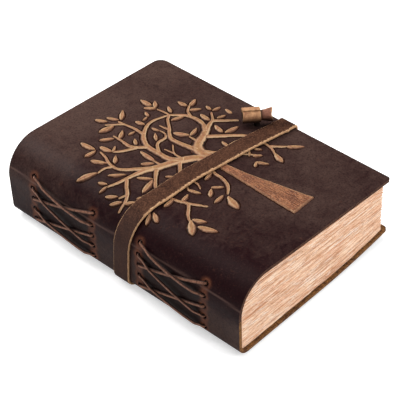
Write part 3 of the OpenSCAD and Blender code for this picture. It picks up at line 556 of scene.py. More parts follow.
def relief_leather():
    """Embossed leather: tan crests that are partly worn and partly a painted highlight, near black at the foot
    as groove and painted shade, ruddy on the trunk, painted shade on slopes that face the tail and a painted
    highlight on slopes that face the head.
    """
    c = finish_colours()
    m = Shader("Rubbed Relief")
    place = m.place()
    crest = m.value_of("crest")
    blotch = m.noise(place, 3 * MM, 5, 0.7, 0.5)
    fine = m.noise(place, 0.6 * MM, 3, 0.6)
    wander = m.ramp(blotch, 0.3, 0.7, -0.1, 0.1)
    rubbed_and_lit = m.math("ADD", crest, wander)
    ruddy = m.mix(m.ramp(fine, 0.4, 0.7), (0.15, 0.05, 0.026), (0.24, 0.1, 0.06))
    core = m.mix(m.ramp(blotch, 0.42, 0.62), c.crest, (0.28, 0.11, 0.06))
    # Lighter ridges in the rim colour: partly worn tan, partly a painted highlight.
    tan = m.mix(m.ramp(rubbed_and_lit, 0.1, 0.3), ruddy, c.rim)
    tan = m.mix(m.ramp(rubbed_and_lit, 0.42, 0.75), tan, core)
    tan = m.mix(m.ramp(fine, 0.52, 0.7, 0, 0.45), tan, (0.5, 0.31, 0.17))
    tan = m.mix(m.ramp(m.noise(place, 2.2 * MM, 4, 0.7), 0.5, 0.68, 0, 0.7), tan, (0.15, 0.06, 0.03))
    # Painted shade on slopes that face the tail and a painted highlight on slopes that face the head.
    facing = m.math("ADD", m.value_of("facing"), m.ramp(blotch, 0.3, 0.7, -0.08, 0.08))
    tan = m.mix(m.ramp(facing, -0.12, -0.5, 0, 0.8), tan, (0.11, 0.038, 0.02))
    tan = m.mix(m.ramp(facing, 0.08, 0.4, 0, 0.65), tan, (0.6, 0.4, 0.23))
    # Near black at the relief's foot: partly the pressed groove's own dark, partly painted shade where the
    # relief meets the leather.
    base = m.mix(m.ramp(rubbed_and_lit, 0.02, 0.14), (0.012, 0.005, 0.004), tan)
    along = m.stretched(place, (9, 0.9, 9))
    grain_lines = m.noise(along, 6 * MM, 6, 0.7, 1.2)
    face = m.mix(m.ramp(grain_lines, 0.42, 0.56), c.trunk, (0.09, 0.03, 0.016))
    face = m.mix(m.ramp(m.noise(place, 7 * MM, 3), 0.45, 0.65, 0, 0.35), face, (0.42, 0.19, 0.085))
    face = m.mix(m.ramp(m.noise(place, 1 * MM, 4, 0.8), 0.5, 0.58, 0, 0.75), face, (0.08, 0.027, 0.017))
    face = m.mix(m.ramp(fine, 0.58, 0.68, 0, 0.6), face, (0.52, 0.3, 0.2))
    base = m.mix(m.value_of("trunk"), base, face)
    lines = m.math("MULTIPLY", m.value_of("trunk"), grain_lines)
    normal = m.bump(lines, 0.5 * MM, 0.7, m.bump(fine, 0.12 * MM, 0.5))
    return m.finish(base, m.ramp(blotch, 0.3, 0.7, 0.5, 0.7), normal, 0.25)


def groove_and_shadow_leather():
    """Groove round the relief: nearly black, partly the pressed groove's own dark and partly a painted shadow
    round the relief, with the leather's own brown here and there.
    """
    m = Shader("Pressed Groove")
    place = m.place()
    patches = m.noise(place, 4 * MM, 4, 0.7, 0.6)
    base = m.mix(m.ramp(patches, 0.45, 0.65), (0.012, 0.003, 0.001), (0.034, 0.013, 0.007))
    return m.finish(base, 0.8, m.bump(patches, 0.1 * MM, 0.5), 0.03)


def strap_leather():
    """Strap leather: matt brown, lighter and rougher where the raw flesh shows at its long edges."""
    c = finish_colours()
    m = Shader("Strap Leather")
    place = m.place()
    mottle = m.noise(place, 6 * MM, 5, 0.65, 0.6)
    fine = m.noise(place, 0.9 * MM, 4, 0.6)
    base = m.mix(m.ramp(mottle, 0.32, 0.7), (0.03, 0.012, 0.008), c.strap)
    base = m.mix(m.ramp(fine, 0.5, 0.66, 0, 0.55), base, (0.15, 0.066, 0.036))
    base = m.mix(m.ramp(fine, 0.46, 0.34, 0, 0.5), base, (0.016, 0.006, 0.005))
    base = m.mix(m.math("MULTIPLY", m.value_of("turned"), 0.6), base, (0.042, 0.024, 0.022))
    edge = m.value_of("edge")
    ragged = m.math("ADD", edge, m.ramp(m.noise(place, 1.3 * MM, 4, 0.75), 0.3, 0.7, -0.45, 0.25))
    base = m.mix(m.ramp(ragged, 0.35, 0.6), base, m.mix(m.ramp(fine, 0.35, 0.7), c.raw, (0.36, 0.19, 0.1)))
    return m.finish(base, 0.75, grain(m, place), 0.1)


def thong_leather():
    """Lacing thong: ruddy brown, with painted shade down its sides, under it and deep in the holes, and lighter
    tops that are partly worn and partly a painted highlight.
    """
    c = finish_colours()
    m = Shader("Thong Leather")
    place = m.place()
    mottle = m.noise(place, 2.5 * MM, 5, 0.7, 0.8)
    base = m.mix(m.ramp(mottle, 0.35, 0.7), (0.03, 0.011, 0.008), (0.07, 0.027, 0.017))
    # Lighter top: partly worn, partly a painted highlight.
    top = m.math("MULTIPLY", m.value_of("top"), m.ramp(m.noise(place, 1.6 * MM, 4, 0.7), 0.3, 0.6, 0.35, 1))
    base = m.mix(m.ramp(top, 0.25, 0.8), base, c.thong)
    # Painted shade down the thong's sides and underside.
    base = m.mix(m.ramp(m.value_of("top"), 0.0, 0.3, 0.9, 0.0), base, (0.016, 0.006, 0.005))
    # Painted shade where the thong sinks into its hole.
    base = m.mix(m.value_of("deep"), base, (0.012, 0.005, 0.004))
    return m.finish(base, 0.6, m.bump(mottle, 0.3 * MM, 0.6), 0.25)


def toggle_leather():
    """Rolled toggle: brown grain side with a tan flesh side."""
    c = finish_colours()
    m = Shader("Toggle Leather")
    place = m.place()
    mottle = m.noise(place, 3 * MM, 5, 0.7, 0.6)
    face = m.mix(m.ramp(mottle, 0.35, 0.68), (0.54, 0.29, 0.145), (0.25, 0.105, 0.056))
    flesh = m.mix(m.ramp(mottle, 0.35, 0.68), c.raw, (0.3, 0.15, 0.07))
    inner = m.mix(m.ramp(mottle, 0.35, 0.68), (0.34, 0.145, 0.092), (0.12, 0.048, 0.034))
    face = m.mix(m.value_of("inner"), face, inner)
    base = m.mix(m.ramp(m.math("ADD", m.value_of("flesh"), m.ramp(mottle, 0.3, 0.7, -0.2, 0.2)),
                        0.3, 0.6), face, flesh)
    base = m.mix(m.value_of("shaded"), base, (0.012, 0.005, 0.004))
    return m.finish(base, 0.68, grain(m, place), 0.25)


def paper():
    """Handmade paper: cream sheet edges with pink and tan streaks, with painted shade in the gaps between sheets
    and near the covers.
    """
    c = finish_colours()
    m = Shader("Handmade Paper")
    uv = m.uv()
    sheets = m.noise(m.stretched(uv, (28, 1300, 1)), 1.0, 3, 0.6, 0.1)
    dashes = m.noise(m.stretched(uv, (110, 900, 1)), 1.0, 5, 0.8, 0.3)
    specks = m.noise(m.stretched(uv, (600, 1500, 1)), 1.0, 3, 0.7, 0.4)
    broad = m.noise(m.stretched(uv, (35, 170, 1)), 1.0, 4, 0.7, 0.4)
    base = m.mix(m.ramp(broad, 0.46, 0.62, 0, 0.7), c.paper, (0.84, 0.52, 0.36))
    base = m.mix(m.ramp(broad, 0.45, 0.36, 0, 0.8), base, (0.98, 0.86, 0.75))
    base = m.mix(m.ramp(sheets, 0.5, 0.56, 0, 0.8), base, (0.52, 0.26, 0.15))
    base = m.mix(m.ramp(dashes, 0.53, 0.62, 0, 0.75), base, c.stain)
    base = m.mix(m.ramp(dashes, 0.47, 0.38, 0, 0.8), base, (0.98, 0.84, 0.71))
    base = m.mix(m.ramp(specks, 0.58, 0.66, 0, 0.8), base, (0.36, 0.15, 0.08))
    # Painted shade where a sheet's edge lies back in a gap.
    base = m.mix(m.math("MULTIPLY", m.value_of("gap"), 0.75), base, (0.5, 0.24, 0.13))
    base = m.mix(m.math("MULTIPLY", m.value_of("shade"), 0.6), base, (0.5, 0.24, 0.13))
    place = m.place()
    fibres = m.noise(place, 1.5 * MM, 4, 0.8, 0.8)
    sheet = m.mix(m.ramp(m.noise(place, 9 * MM, 5, 0.7, 0.6), 0.35, 0.65), (0.58, 0.47, 0.37), (0.5, 0.37, 0.27))
    sheet = m.mix(m.ramp(fibres, 0.55, 0.7, 0, 0.5), sheet, (0.36, 0.21, 0.13))
    flat = m.value_of("face")
    base = m.mix(flat, base, sheet)
    height = m.math("MULTIPLY", dashes, m.math("SUBTRACT", 1.0, flat))
    return m.finish(base, 0.92, m.bump(height, 0.25 * MM, 0.6, m.bump(fibres, 0.05 * MM, 0.4)), 0.1)


def use(thing, *materials):
    """Gives an object its materials, in order."""
    thing.data.materials.clear()
    for material in materials:
        thing.data.materials.append(material)


# Covers

def rounded_ways(end, radii, direction):
    """Ways near a cover's fore edge at which a round corner needs a row of points."""
    steps = 7
    return [end - direction * r * (1 - math.sin(math.pi / 2 * k / steps))
            for r in radii for k in range(steps + 1)]


def corner_cut(to_end, r):
    """How far a round corner takes the edge in, at a distance from the fore edge."""
    if to_end >= r:
        return 0.0
    return r - math.sqrt(max(0.0, r * r - (r - to_end) ** 2))


def lace_holes(section):
    """Way and y of every lacing hole."""
    s = sizes()
    return [(section.way_at_height(s.row_first + row * s.row_pitch), middle + side * s.lace_span / 2)
            for middle in (s.tail_lace_y, s.head_lace_y) for side in (-1, 1) for row in range(5)]


def leather_sheet(name, section, ways, direction):
    """Half of the cover as a sheet of leather with its edges rounded over."""
    s = sizes()
    end = ways[-1]
    columns = 150
    holes = lace_holes(section)
    verts, faces, wear, crease, under, bloom = [], [], [], [], [], []
    inset = 0.02 * MM
    low_row, high_row = section.way_at_height(s.row_first), section.way_at_height(
        s.row_first + 4 * s.row_pitch)
    crease_way = section.to_shoulder + math.radians(17) * s.shoulder_r
    for way in ways:
        to_end = abs(end - way)
        low = corner_cut(to_end, s.tail_corner_r) + inset
        high = COVER_H - corner_cut(to_end, s.head_corner_r) - inset
        x = section.frame_at(way)[0][0]
        on_spine = ease(way, section.to_shoulder + 6 * MM, section.to_shoulder - 10 * MM)
        for k in range(columns + 1):
            y = low + (high - low) * k / columns
            wave = noise.noise(Vector((way / 0.05, y / 0.045, direction * 3.0)))
            edge = ease(to_end, 30 * MM, 0) + 0.6 * ease(min(y, COVER_H - y), 25 * MM, 0)
            lift = 0.35 * MM * max(0.0, wave) * min(1.0, edge) if direction > 0 else 0.0
            verts.append(section.point(way, y, lift))
            near = min(math.hypot(way - hw, y - hy) for hw, hy in holes)
            column = min(abs(y - hy) for _, hy in holes)
            on_rows = ease(abs(way - section.way_at_height(22 * MM)), 19 * MM, 15 * MM)
            wear.append(max(ease(near, 4.6 * MM, 1.6 * MM), 0.75 * on_rows * ease(column, 3.6 * MM, 1 * MM)))
            crease.append(ease(abs(way - crease_way - 1.2 * MM * math.sin(y * 40)), 0.9 * MM, 0.1 * MM))
            # bloom is partly the leather's own tone and partly painted light. On the front it is lighter towards
            # the head as a painted sheen and darker over the shoulder as painted shade. rubbed_and_lit adds a
            # lighter patch at the lower right, in_crown makes it darker inside the tree's crown, and on the
            # spine it grows darker towards the head.
            u, v = x / COVER_W, y / COVER_H
            flat = 0.75 * v + 0.45 * u - 0.5 * u * v - 0.03 - 0.38 * ease(x, 30 * MM, 6 * MM)
            spine = 0.5 - 0.5 * v
            in_crown = ease(math.hypot(x - 62 * MM, y - 104 * MM), 62 * MM, 40 * MM)
            rubbed_and_lit = ease(math.hypot(x - 82 * MM, y - 24 * MM), 45 * MM, 10 * MM)
            bloom.append(flat + 0.14 * rubbed_and_lit - 0.12 * in_crown + (spine - flat) * on_spine)
            # under: painted shade on the spine within each lacing, between its columns and its rows, where the
            # thongs cross.
            inside = max(ease(abs(y - middle), s.lace_span / 2, s.lace_span / 2 - 5 * MM)
                         for middle in (s.tail_lace_y, s.head_lace_y))
            under.append(inside * ease(way, low_row - 3 * MM, low_row + 2 * MM)
                         * ease(way, high_row - 1 * MM, high_row - 7 * MM))
    n = columns + 1
    for i in range(len(ways) - 1):
        for k in range(columns):
            a = i * n + k
            quad = [a, a + 1, a + n + 1, a + n]
            faces.append(quad if direction < 0 else quad[::-1])
    sheet = add_mesh(name, verts, faces)
    set_point_values(sheet, "wear", wear)
    set_point_values(sheet, "crease", crease)
    set_point_values(sheet, "under", under)
    set_point_values(sheet, "bloom", bloom)
    solid = sheet.modifiers.new("Thickness", "SOLIDIFY")
    solid.thickness = s.leather_t
    solid.offset = -1
    solid.material_offset = 1
    solid.material_offset_rim = 1
    return sheet


def punch_holes(sheet, section, holes):
    """Cuts the lacing holes through the leather."""
    s = sizes()
    b = bmesh.new()
    for way, y in holes:
        (_, _), n = section.frame_at(way)
        out = Vector((n[0], 0, n[1]))
        middle = section.point(way, y, -s.leather_t / 2)
        turn = out.to_track_quat("Z", "Y").to_matrix().to_4x4()
        turn.translation = middle
        bmesh.ops.create_cone(b, cap_ends=True, segments=20, radius1=s.hole_d / 2,
                              radius2=s.hole_d / 2, depth=3 * s.leather_t, matrix=turn)
    mesh = bpy.data.meshes.new("punches")
    b.to_mesh(mesh)
    b.free()
    punches = add_object("punches", mesh)
    cut = sheet.modifiers.new("Holes", "BOOLEAN")
    cut.operation = "DIFFERENCE"
    cut.solver = "EXACT"
    cut.object = punches
    apply_modifiers(sheet)
    bpy.data.objects.remove(punches)
    bpy.data.meshes.remove(mesh)


def steps_between(a, b, step):
    count = max(1, round(abs(b - a) / step))
    return [a + (b - a) * k / count for k in range(count)]


class JOURNAL_OT_cover(bpy.types.Operator):
    """Make the leather cover round the book, in two halves that meet at mid spine"""
    bl_idname = "journal.cover"
    bl_label = "Leather Cover"

    def execute(self, context):
        s = sizes()
        section = Section()
        face = cover_leather()
        rims = (raw_leather("Dyed Cover Edge", (0.13, 0.055, 0.028), (0.03, 0.011, 0.008)),
                raw_leather("Raw Cover Edge", (0.36, 0.17, 0.05), (0.06, 0.022, 0.011)))
        holes = lace_holes(section)
        fold_way = section.to_shoulder + section.arc
        front_ways = (steps_between(0, section.to_shoulder, 1.3 * MM)
                      + steps_between(section.to_shoulder, fold_way, 1.0 * MM)
                      + steps_between(fold_way, section.front_end - s.head_corner_r, 2.2 * MM)
                      + rounded_ways(section.front_end, (s.head_corner_r, s.tail_corner_r), 1))
        back_ways = (steps_between(0, -section.to_heel, 1.3 * MM)
                     + steps_between(-section.to_heel, -section.to_heel - section.heel_arc, 0.7 * MM)
                     + steps_between(-section.to_heel - section.heel_arc,
                                     section.back_end + s.head_corner_r, 2.2 * MM)
                     + rounded_ways(section.back_end, (s.head_corner_r, s.tail_corner_r), -1))
        for name, ways, direction, ends, body in (
                ("cover_front_half", front_ways, 1, section.front_fold(), "front_cover"),
                ("cover_back_half", back_ways, -1, section.back_fold(), "back_cover")):
            ways = sorted({round(way, 7) for way in ways}, reverse=direction < 0)
            sheet = leather_sheet(name, section, ways, direction)
            use(sheet, face, rims[direction < 0])
            mine = [hole for hole in holes if hole[0] * direction > 0]
            punch_holes(sheet, section, mine)
            sharp_by_angle(sheet, 40)
            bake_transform(sheet)
            nodes = ("front_cover", "spine") if direction > 0 else ("back_cover",)
            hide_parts(*nodes)
        return {"FINISHED"}


# Embossed tree

class GeometryTree:
    """A Geometry Nodes tree with short calls for what the journal needs."""

    def __init__(self, name, inputs):
        self.tree = bpy.data.node_groups.new(name, "GeometryNodeTree")
        faces = self.tree.interface
        faces.new_socket("Geometry", in_out="INPUT", socket_type="NodeSocketGeometry")
        faces.new_socket("Geometry", in_out="OUTPUT", socket_type="NodeSocketGeometry")
        self.ids = {}
        for label, (kind, default) in inputs.items():
            made = faces.new_socket(label, in_out="INPUT", socket_type=kind)
            if default is not None:
                made.default_value = default
            self.ids[label] = made.identifier
        self.input = self.tree.nodes.new("NodeGroupInput")
        self.output = self.tree.nodes.new("NodeGroupOutput")

    def node(self, kind, sockets=None, **values):
        made = self.tree.nodes.new(kind)
        for key, value in values.items():
            setattr(made, key, value)
        for key, value in (sockets or {}).items():
            self.plug(made.inputs[key], value)
        return made

    def plug(self, socket, value):
        if isinstance(value, bpy.types.NodeSocket):
            self.tree.links.new(value, socket)
        else:
            socket.default_value = value

    def math(self, operation, a, b=0.0):
        made = self.node("ShaderNodeMath", operation=operation)
        self.plug(made.inputs[0], a)
        self.plug(made.inputs[1], b)
        return made.outputs[0]

    def named(self, name):
        made = self.node("GeometryNodeInputNamedAttribute", {"Name": name}, data_type="FLOAT")
        return made.outputs["Attribute"]

    def store(self, geometry, name, value):
        made = self.node("GeometryNodeStoreNamedAttribute",
                         {"Geometry": geometry, "Name": name, "Value": value},
                         data_type="FLOAT", domain="POINT")
        return made.outputs["Geometry"]

    def use_on(self, thing, values):
        """Adds the tree to an object as a modifier, with its inputs set before it is evaluated."""
        modifier = thing.modifiers.new(self.tree.name, "NODES")
        modifier.node_group = self.tree
        for label, value in values.items():
            modifier[self.ids[label]] = value
        return modifier


def relief_tree():
    """Nodes that sweep limbs, set leaves on points and press both on to the front cover."""
    g = GeometryTree("Embossed Tree", {
        "Leaf Points": ("NodeSocketObject", None), "Leaf": ("NodeSocketObject", None),
        "Trunk": ("NodeSocketObject", None), "Height": ("NodeSocketFloat", 0.0),
        "Sunk": ("NodeSocketFloat", 0.0), "Lift": ("NodeSocketFloat", 0.0),
        "Margin": ("NodeSocketFloat", 0.0), "Shoulder Radius": ("NodeSocketFloat", 0.0),
        "Bend Height": ("NodeSocketFloat", 0.0), "Slope": ("NodeSocketFloat", 0.0),
        "Spine X": ("NodeSocketFloat", 0.0), "Finish": ("NodeSocketMaterial", None)})
    at_input = g.input.outputs
    # profile of a limb: a dome over a flat underside, as a closed curve from -1 to 1
    around = 24
    skirt = 1.3
    ring = g.node("GeometryNodeMeshCircle", {"Vertices": around, "Radius": 1.0})
    place = g.node("ShaderNodeSeparateXYZ", {"Vector": g.node("GeometryNodeInputPosition").outputs[0]})
    x, y = place.outputs["X"], place.outputs["Y"]
    wide = g.math("MULTIPLY", x, skirt)
    inward = g.math("MAXIMUM", g.math("SUBTRACT", 1.0, g.math("ABSOLUTE", wide)), 0.0)
    below = g.math("LESS_THAN", y, -0.01)
    crest = g.math("SUBTRACT", g.math("MULTIPLY", inward, g.math("SUBTRACT", 1.0, below)), below)
    shaped = g.store(ring.outputs["Mesh"], "crest", crest)
    flat = g.node("GeometryNodeSetPosition", {
        "Geometry": shaped,
        "Position": g.node("ShaderNodeCombineXYZ", {"X": wide}).outputs[0]})
    profile = g.node("GeometryNodeMeshToCurve", {"Mesh": flat.outputs["Geometry"]})
    radius = g.math("ADD", g.node("GeometryNodeInputRadius").outputs[0], at_input["Margin"])
    marked = g.store(at_input["Geometry"], "half", radius)
    upright = g.node("GeometryNodeSetCurveNormal", {"Curve": marked})
    upright.mode = "Z_UP"
    swept = g.node("GeometryNodeCurveToMesh", {"Curve": upright.outputs["Curve"],
                                               "Profile Curve": profile.outputs["Curve"],
                                               "Fill Caps": True})
    if "Scale" in swept.inputs:
        g.plug(swept.inputs["Scale"], radius)
    # leaves: one domed leaf set on every point
    points = g.node("GeometryNodeObjectInfo", {"Object": at_input["Leaf Points"]})
    leaf = g.node("GeometryNodeObjectInfo", {"Object": at_input["Leaf"]})
    turn = g.node("ShaderNodeCombineXYZ", {"Z": g.named("turn")})
    around_leaf = g.math("MULTIPLY", at_input["Margin"], 2.0)
    size = g.node("ShaderNodeCombineXYZ", {"X": g.math("ADD", g.named("long"), around_leaf),
                                           "Y": g.math("ADD", g.named("wide"), around_leaf), "Z": 1.0})
    leaves = g.node("GeometryNodeInstanceOnPoints", {
        "Points": points.outputs["Geometry"], "Instance": leaf.outputs["Geometry"],
        "Rotation": turn.outputs[0], "Scale": size.outputs[0]})
    trunk = g.node("GeometryNodeObjectInfo", {"Object": at_input["Trunk"]})
    joined = g.node("GeometryNodeJoinGeometry")
    for part in (trunk.outputs["Geometry"], leaves.outputs["Instances"], swept.outputs["Mesh"]):
        g.tree.links.new(part, joined.inputs["Geometry"])
    real = g.node("GeometryNodeRealizeInstances", {"Geometry": joined.outputs["Geometry"]})
    # height over the leather: narrow limbs stand lower than broad ones
    now = g.node("ShaderNodeSeparateXYZ", {"Vector": g.node("GeometryNodeInputPosition").outputs[0]})
    tall = g.node("ShaderNodeMapRange", {"Value": g.named("half"), "From Min": 0.3 * MM,
                                         "From Max": 1.6 * MM, "To Min": 0.55, "To Max": 1.0})
    crest_now = g.named("crest")
    rise = g.node("ShaderNodeMapRange", {"Value": crest_now, "From Min": 0.0, "From Max": 0.42,
                                         "To Min": 0.0, "To Max": 1.0},
                  interpolation_type="SMOOTHSTEP")
    dip = g.node("ShaderNodeMapRange", {"Value": crest_now, "From Min": 0.45, "From Max": 1.0,
                                        "To Min": 0.0, "To Max": 0.3},
                 interpolation_type="SMOOTHSTEP")
    hollow = g.math("SUBTRACT", rise.outputs["Result"], dip.outputs["Result"])
    up = g.math("MULTIPLY", hollow, g.math("MULTIPLY", at_input["Height"], tall.outputs["Result"]))
    down = g.math("MULTIPLY", g.math("LESS_THAN", crest_now, -0.01), at_input["Sunk"])
    height = g.math("ADD", g.math("SUBTRACT", up, down), at_input["Lift"])
    # from the plan on to the shoulder's bend or the flat board
    r, slope = at_input["Shoulder Radius"], at_input["Slope"]
    book_x = g.math("SUBTRACT", now.outputs["X"], at_input["Spine X"])
    share = g.math("MINIMUM", g.math("MAXIMUM", g.math("DIVIDE", g.math("SUBTRACT", r, book_x), r), -1.0), 1.0)
    flat_angle = g.math("ADD", slope, math.pi / 2)
    angle = g.math("MINIMUM", g.math("ARCCOSINE", share), flat_angle)
    nx = g.math("MULTIPLY", g.math("COSINE", angle), -1.0)
    nz = g.math("SINE", angle)
    bend_x = g.math("MULTIPLY", r, g.math("ADD", 1.0, nx))
    beyond = g.math("MAXIMUM", g.math("SUBTRACT", book_x, bend_x), 0.0)
    on_board = g.math("GREATER_THAN", book_x, g.math("MULTIPLY", r, g.math("ADD", 1.0, g.math("SINE", slope))))
    run = g.math("MULTIPLY", beyond, on_board)
    px = g.math("ADD", g.math("ADD", bend_x, run), g.math("MULTIPLY", nx, height))
    fall = g.math("MULTIPLY", run, g.math("TANGENT", slope))
    pz = g.math("ADD", at_input["Bend Height"], g.math("MULTIPLY", nz, g.math("ADD", r, height)))
    put = g.node("ShaderNodeCombineXYZ", {"X": g.math("ADD", px, at_input["Spine X"]),
                                          "Y": now.outputs["Y"], "Z": g.math("SUBTRACT", pz, fall)})
    pressed = g.node("GeometryNodeSetPosition", {"Geometry": real.outputs["Geometry"],
                                                 "Position": put.outputs[0]})
    # Store which way each point faces along Y, for the painted shade and painted highlight on the relief's
    # slopes.
    normal = g.node("ShaderNodeSeparateXYZ", {"Vector": g.node("GeometryNodeInputNormal").outputs["Normal"]})
    faced = g.store(pressed.outputs["Geometry"], "facing", normal.outputs["Y"])
    smooth = g.node("GeometryNodeSetShadeSmooth", {"Geometry": faced})
    skin = g.node("GeometryNodeSetMaterial", {"Geometry": smooth.outputs["Geometry"],
                                              "Material": at_input["Finish"]})
    g.tree.links.new(skin.outputs["Geometry"], g.output.inputs["Geometry"])
    return g


def curve_point(p, i, t):
    """Point of a smooth curve through a list at i + t."""
    a, b, c, d = (Vector(p[max(i - 1, 0)]), Vector(p[i]), Vector(p[i + 1]),
                  Vector(p[min(i + 2, len(p) - 1)]))
    return 0.5 * (2 * b + (c - a) * t + (2 * a - 5 * b + 4 * c - d) * t ** 2
                  + (3 * b - a - 3 * c + d) * t ** 3)


def limb_line(points):
    """Smooth line through a limb's points, with a knobbly width and a round tip."""
    steps = 5
    line = [curve_point(points, i, k / steps) for i in range(len(points) - 1) for k in range(steps)]
    tip = Vector(points[-1])
    line.append(tip)
    along = (tip - Vector(points[-2])).xy.normalized()
    for reach, share in ((0.35, 0.8), (0.5, 0.5), (0.56, 0.2)):
        end = tip.xy + along * tip.z * reach
        line.append(Vector((end.x, end.y, tip.z * share)))
    knobs = [1 + 0.16 * noise.noise(Vector((p.x * 0.45, p.y * 0.45, 2.0))) for p in line]
    return [Vector((p.x, p.y, p.z * k)) for p, k in zip(line, knobs)]


def limbs_object(name):
    """The limbs as curves in the plan, with half their width as radius."""
    s = sizes()
    data = bpy.data.curves.new("tree_limbs", "CURVE")
    data.dimensions = "3D"
    for points in LIMBS:
        line = limb_line(points)
        spline = data.splines.new("POLY")
        spline.points.add(len(line) - 1)
        for knot, p in zip(spline.points, line):
            knot.co = (SPINE_X + s.tree_x + p.x * MM, TAIL_Y + s.tree_y + p.y * MM, 0, 1)
            knot.radius = p.z * MM / 2
    return add_object(name, data)


def leaf_mesh():
    """One leaf, 1 long and 1 wide: domed, with a vein down its middle and a flat underside."""
    along, across = 14, 13
    skirt = 1.16
    verts, crest, faces = [], [], []
    for layer in (0, 1):
        for i in range(along + 1):
            t = 0.5 - 0.5 * math.cos(math.pi * i / along)
            half = 0.5 * math.sin(math.pi * t) ** 0.75 * (1.12 - 0.32 * t)
            for k in range(across):
                v = math.sin((-1 + 2 * k / (across - 1)) * math.pi / 2)
                verts.append(((t - 0.5) * skirt, half * v * skirt, 0))
                inward = max(0.0, 1 - abs(v) * skirt) * min(1.0, 3.2 * math.sin(math.pi * t))
                crest.append(-1.0 if layer else max(0.0, inward - 0.06))
    n = across
    size = n * (along + 1)
    for i in range(along):
        for k in range(across - 1):
            a = i * n + k
            faces.append([a, a + n, a + n + 1, a + 1])
            faces.append([size + a, size + a + 1, size + a + n + 1, size + a + n])
    rim = [k for k in range(n)] + [i * n + n - 1 for i in range(1, along + 1)] \
        + [along * n + k for k in range(n - 2, -1, -1)] + [i * n for i in range(along - 1, 0, -1)]
    for a, b in zip(rim, rim[1:] + rim[:1]):
        faces.append([a, b, b + size, a + size])
    leaf = add_mesh("leaf", verts, faces)
    set_point_values(leaf, "crest", crest)
    set_point_values(leaf, "half", [1.6 * MM] * len(verts))
    return leaf


def leaf_points():
    """A point for every leaf, with its length, width and turn."""
    s = sizes()
    mesh = bpy.data.meshes.new("leaf_points")
    mesh.from_pydata([(SPINE_X + s.tree_x + x * MM, TAIL_Y + s.tree_y + y * MM, 0)
                      for x, y, *_ in LEAVES], [], [])
    points = add_object("leaf_points", mesh)
    set_point_values(points, "long", [leaf[2] * MM for leaf in LEAVES])
    set_point_values(points, "wide", [leaf[3] * MM * s.leaf_fullness for leaf in LEAVES])
    set_point_values(points, "turn", [math.radians(leaf[4]) for leaf in LEAVES])
    return points


def trunk_object(margin):
    """The trunk in the plan: a flat face with a raised rim along both sides and the foot."""
    s = sizes()
    wider = margin / MM
    rows, across = 46, 17
    verts, crest, face, faces = [], [], [], []
    top = TRUNK[-1][0]
    left = [[y, a] for y, a, _ in TRUNK]
    right = [[y, b] for y, _, b in TRUNK]
    for layer in (0, 1):
        for i in range(rows + 1):
            t = i / rows
            y = (top + wider) * (t ** 1.15) - wider
            a = at(left, y) + 0.25 * noise.noise(Vector((y * 0.2, 0, 5))) - wider
            b = at(right, y) + 0.25 * noise.noise(Vector((y * 0.2, 9, 5))) + wider
            for k in range(across):
                u = -1 + 2 * k / (across - 1)
                v = math.sin(u * math.pi / 2)
                x = (a + b) / 2 + (b - a) / 2 * v
                verts.append((SPINE_X + s.tree_x + x * MM,
                              TAIL_Y + s.tree_y + (y + 1.0 * (x - a) / (b - a) * (1 - t)) * MM, 0))
                from_side = (1 - abs(v)) * (b - a) / 2
                near = min(from_side, y + 0.01)
                crest.append(-1.0 if layer else 0.42 * min(1.0, near / 0.6) + 0.2 * ease(near, 0.8, 1.6))
                # On the trunk's left side its darker face colour runs out nearly to the edge in place of the
                # light rim: painted shade.
                painted_shade_left = ease(y, 2, 5) * (v < 0)
                face.append(0.0 if layer else max(ease(near, 0.7, 1.1), 0.75 * painted_shade_left * ease(near, 0.1, 0.5)))
    size = across * (rows + 1)
    for i in range(rows):
        for k in range(across - 1):
            p = i * across + k
            faces.append([p, p + 1, p + across + 1, p + across])
            faces.append([size + p, size + p + across, size + p + across + 1, size + p + 1])
    rim = [k for k in range(across)] + [i * across + across - 1 for i in range(1, rows + 1)] \
        + [rows * across + k for k in range(across - 2, -1, -1)] \
        + [i * across for i in range(rows - 1, 0, -1)]
    for p, q in zip(rim, rim[1:] + rim[:1]):
        faces.append([q, p, p + size, q + size])
    trunk = add_mesh("trunk", verts, faces)
    set_point_values(trunk, "crest", crest)
    set_point_values(trunk, "trunk", face)
    set_point_values(trunk, "half", [1.6 * MM] * len(verts))
    return trunk


class JOURNAL_OT_tree(bpy.types.Operator):
    """Emboss the tree on the front cover"""
    bl_idname = "journal.tree"
    bl_label = "Embossed Tree"

    def execute(self, context):
        s = sizes()
        section = Section()
        for name, margin, height, lift, finish in (
                ("embossed_tree", 0, s.relief_h, 0.04 * MM, relief_leather()),
                # The outline is a flat dark sheet round the tree: partly the pressed groove, partly painted
                # shadow.
                ("tree_outline", s.outline_w, 0, 0.02 * MM, groove_and_shadow_leather())):
            helpers = [leaf_points(), leaf_mesh(), trunk_object(margin)]
            limbs = limbs_object(name)
            relief_tree().use_on(limbs, {
                "Leaf Points": helpers[0], "Leaf": helpers[1], "Trunk": helpers[2], "Height": height,
                "Sunk": 0.5 * MM, "Lift": lift, "Margin": margin, "Shoulder Radius": s.shoulder_r,
                "Bend Height": section.bend_z, "Slope": section.slope, "Spine X": SPINE_X,
                "Finish": finish})
            relief = apply_modifiers(limbs)
            for helper in helpers:
                bpy.data.objects.remove(helper)
            outwards(relief)
            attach(relief, "front_cover")
            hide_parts("front_cover")
        return {"FINISHED"}


# Pages

class JOURNAL_OT_pages(bpy.types.Operator):
    """Stack the pages, with the torn edge of every sheet"""
    bl_idname = "journal.pages"
    bl_label = "Pages"

    def execute(self, context):
        pages = page_block()
        use(pages, paper())
        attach(pages, "book")
        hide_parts("text_block")
        return {"FINISHED"}


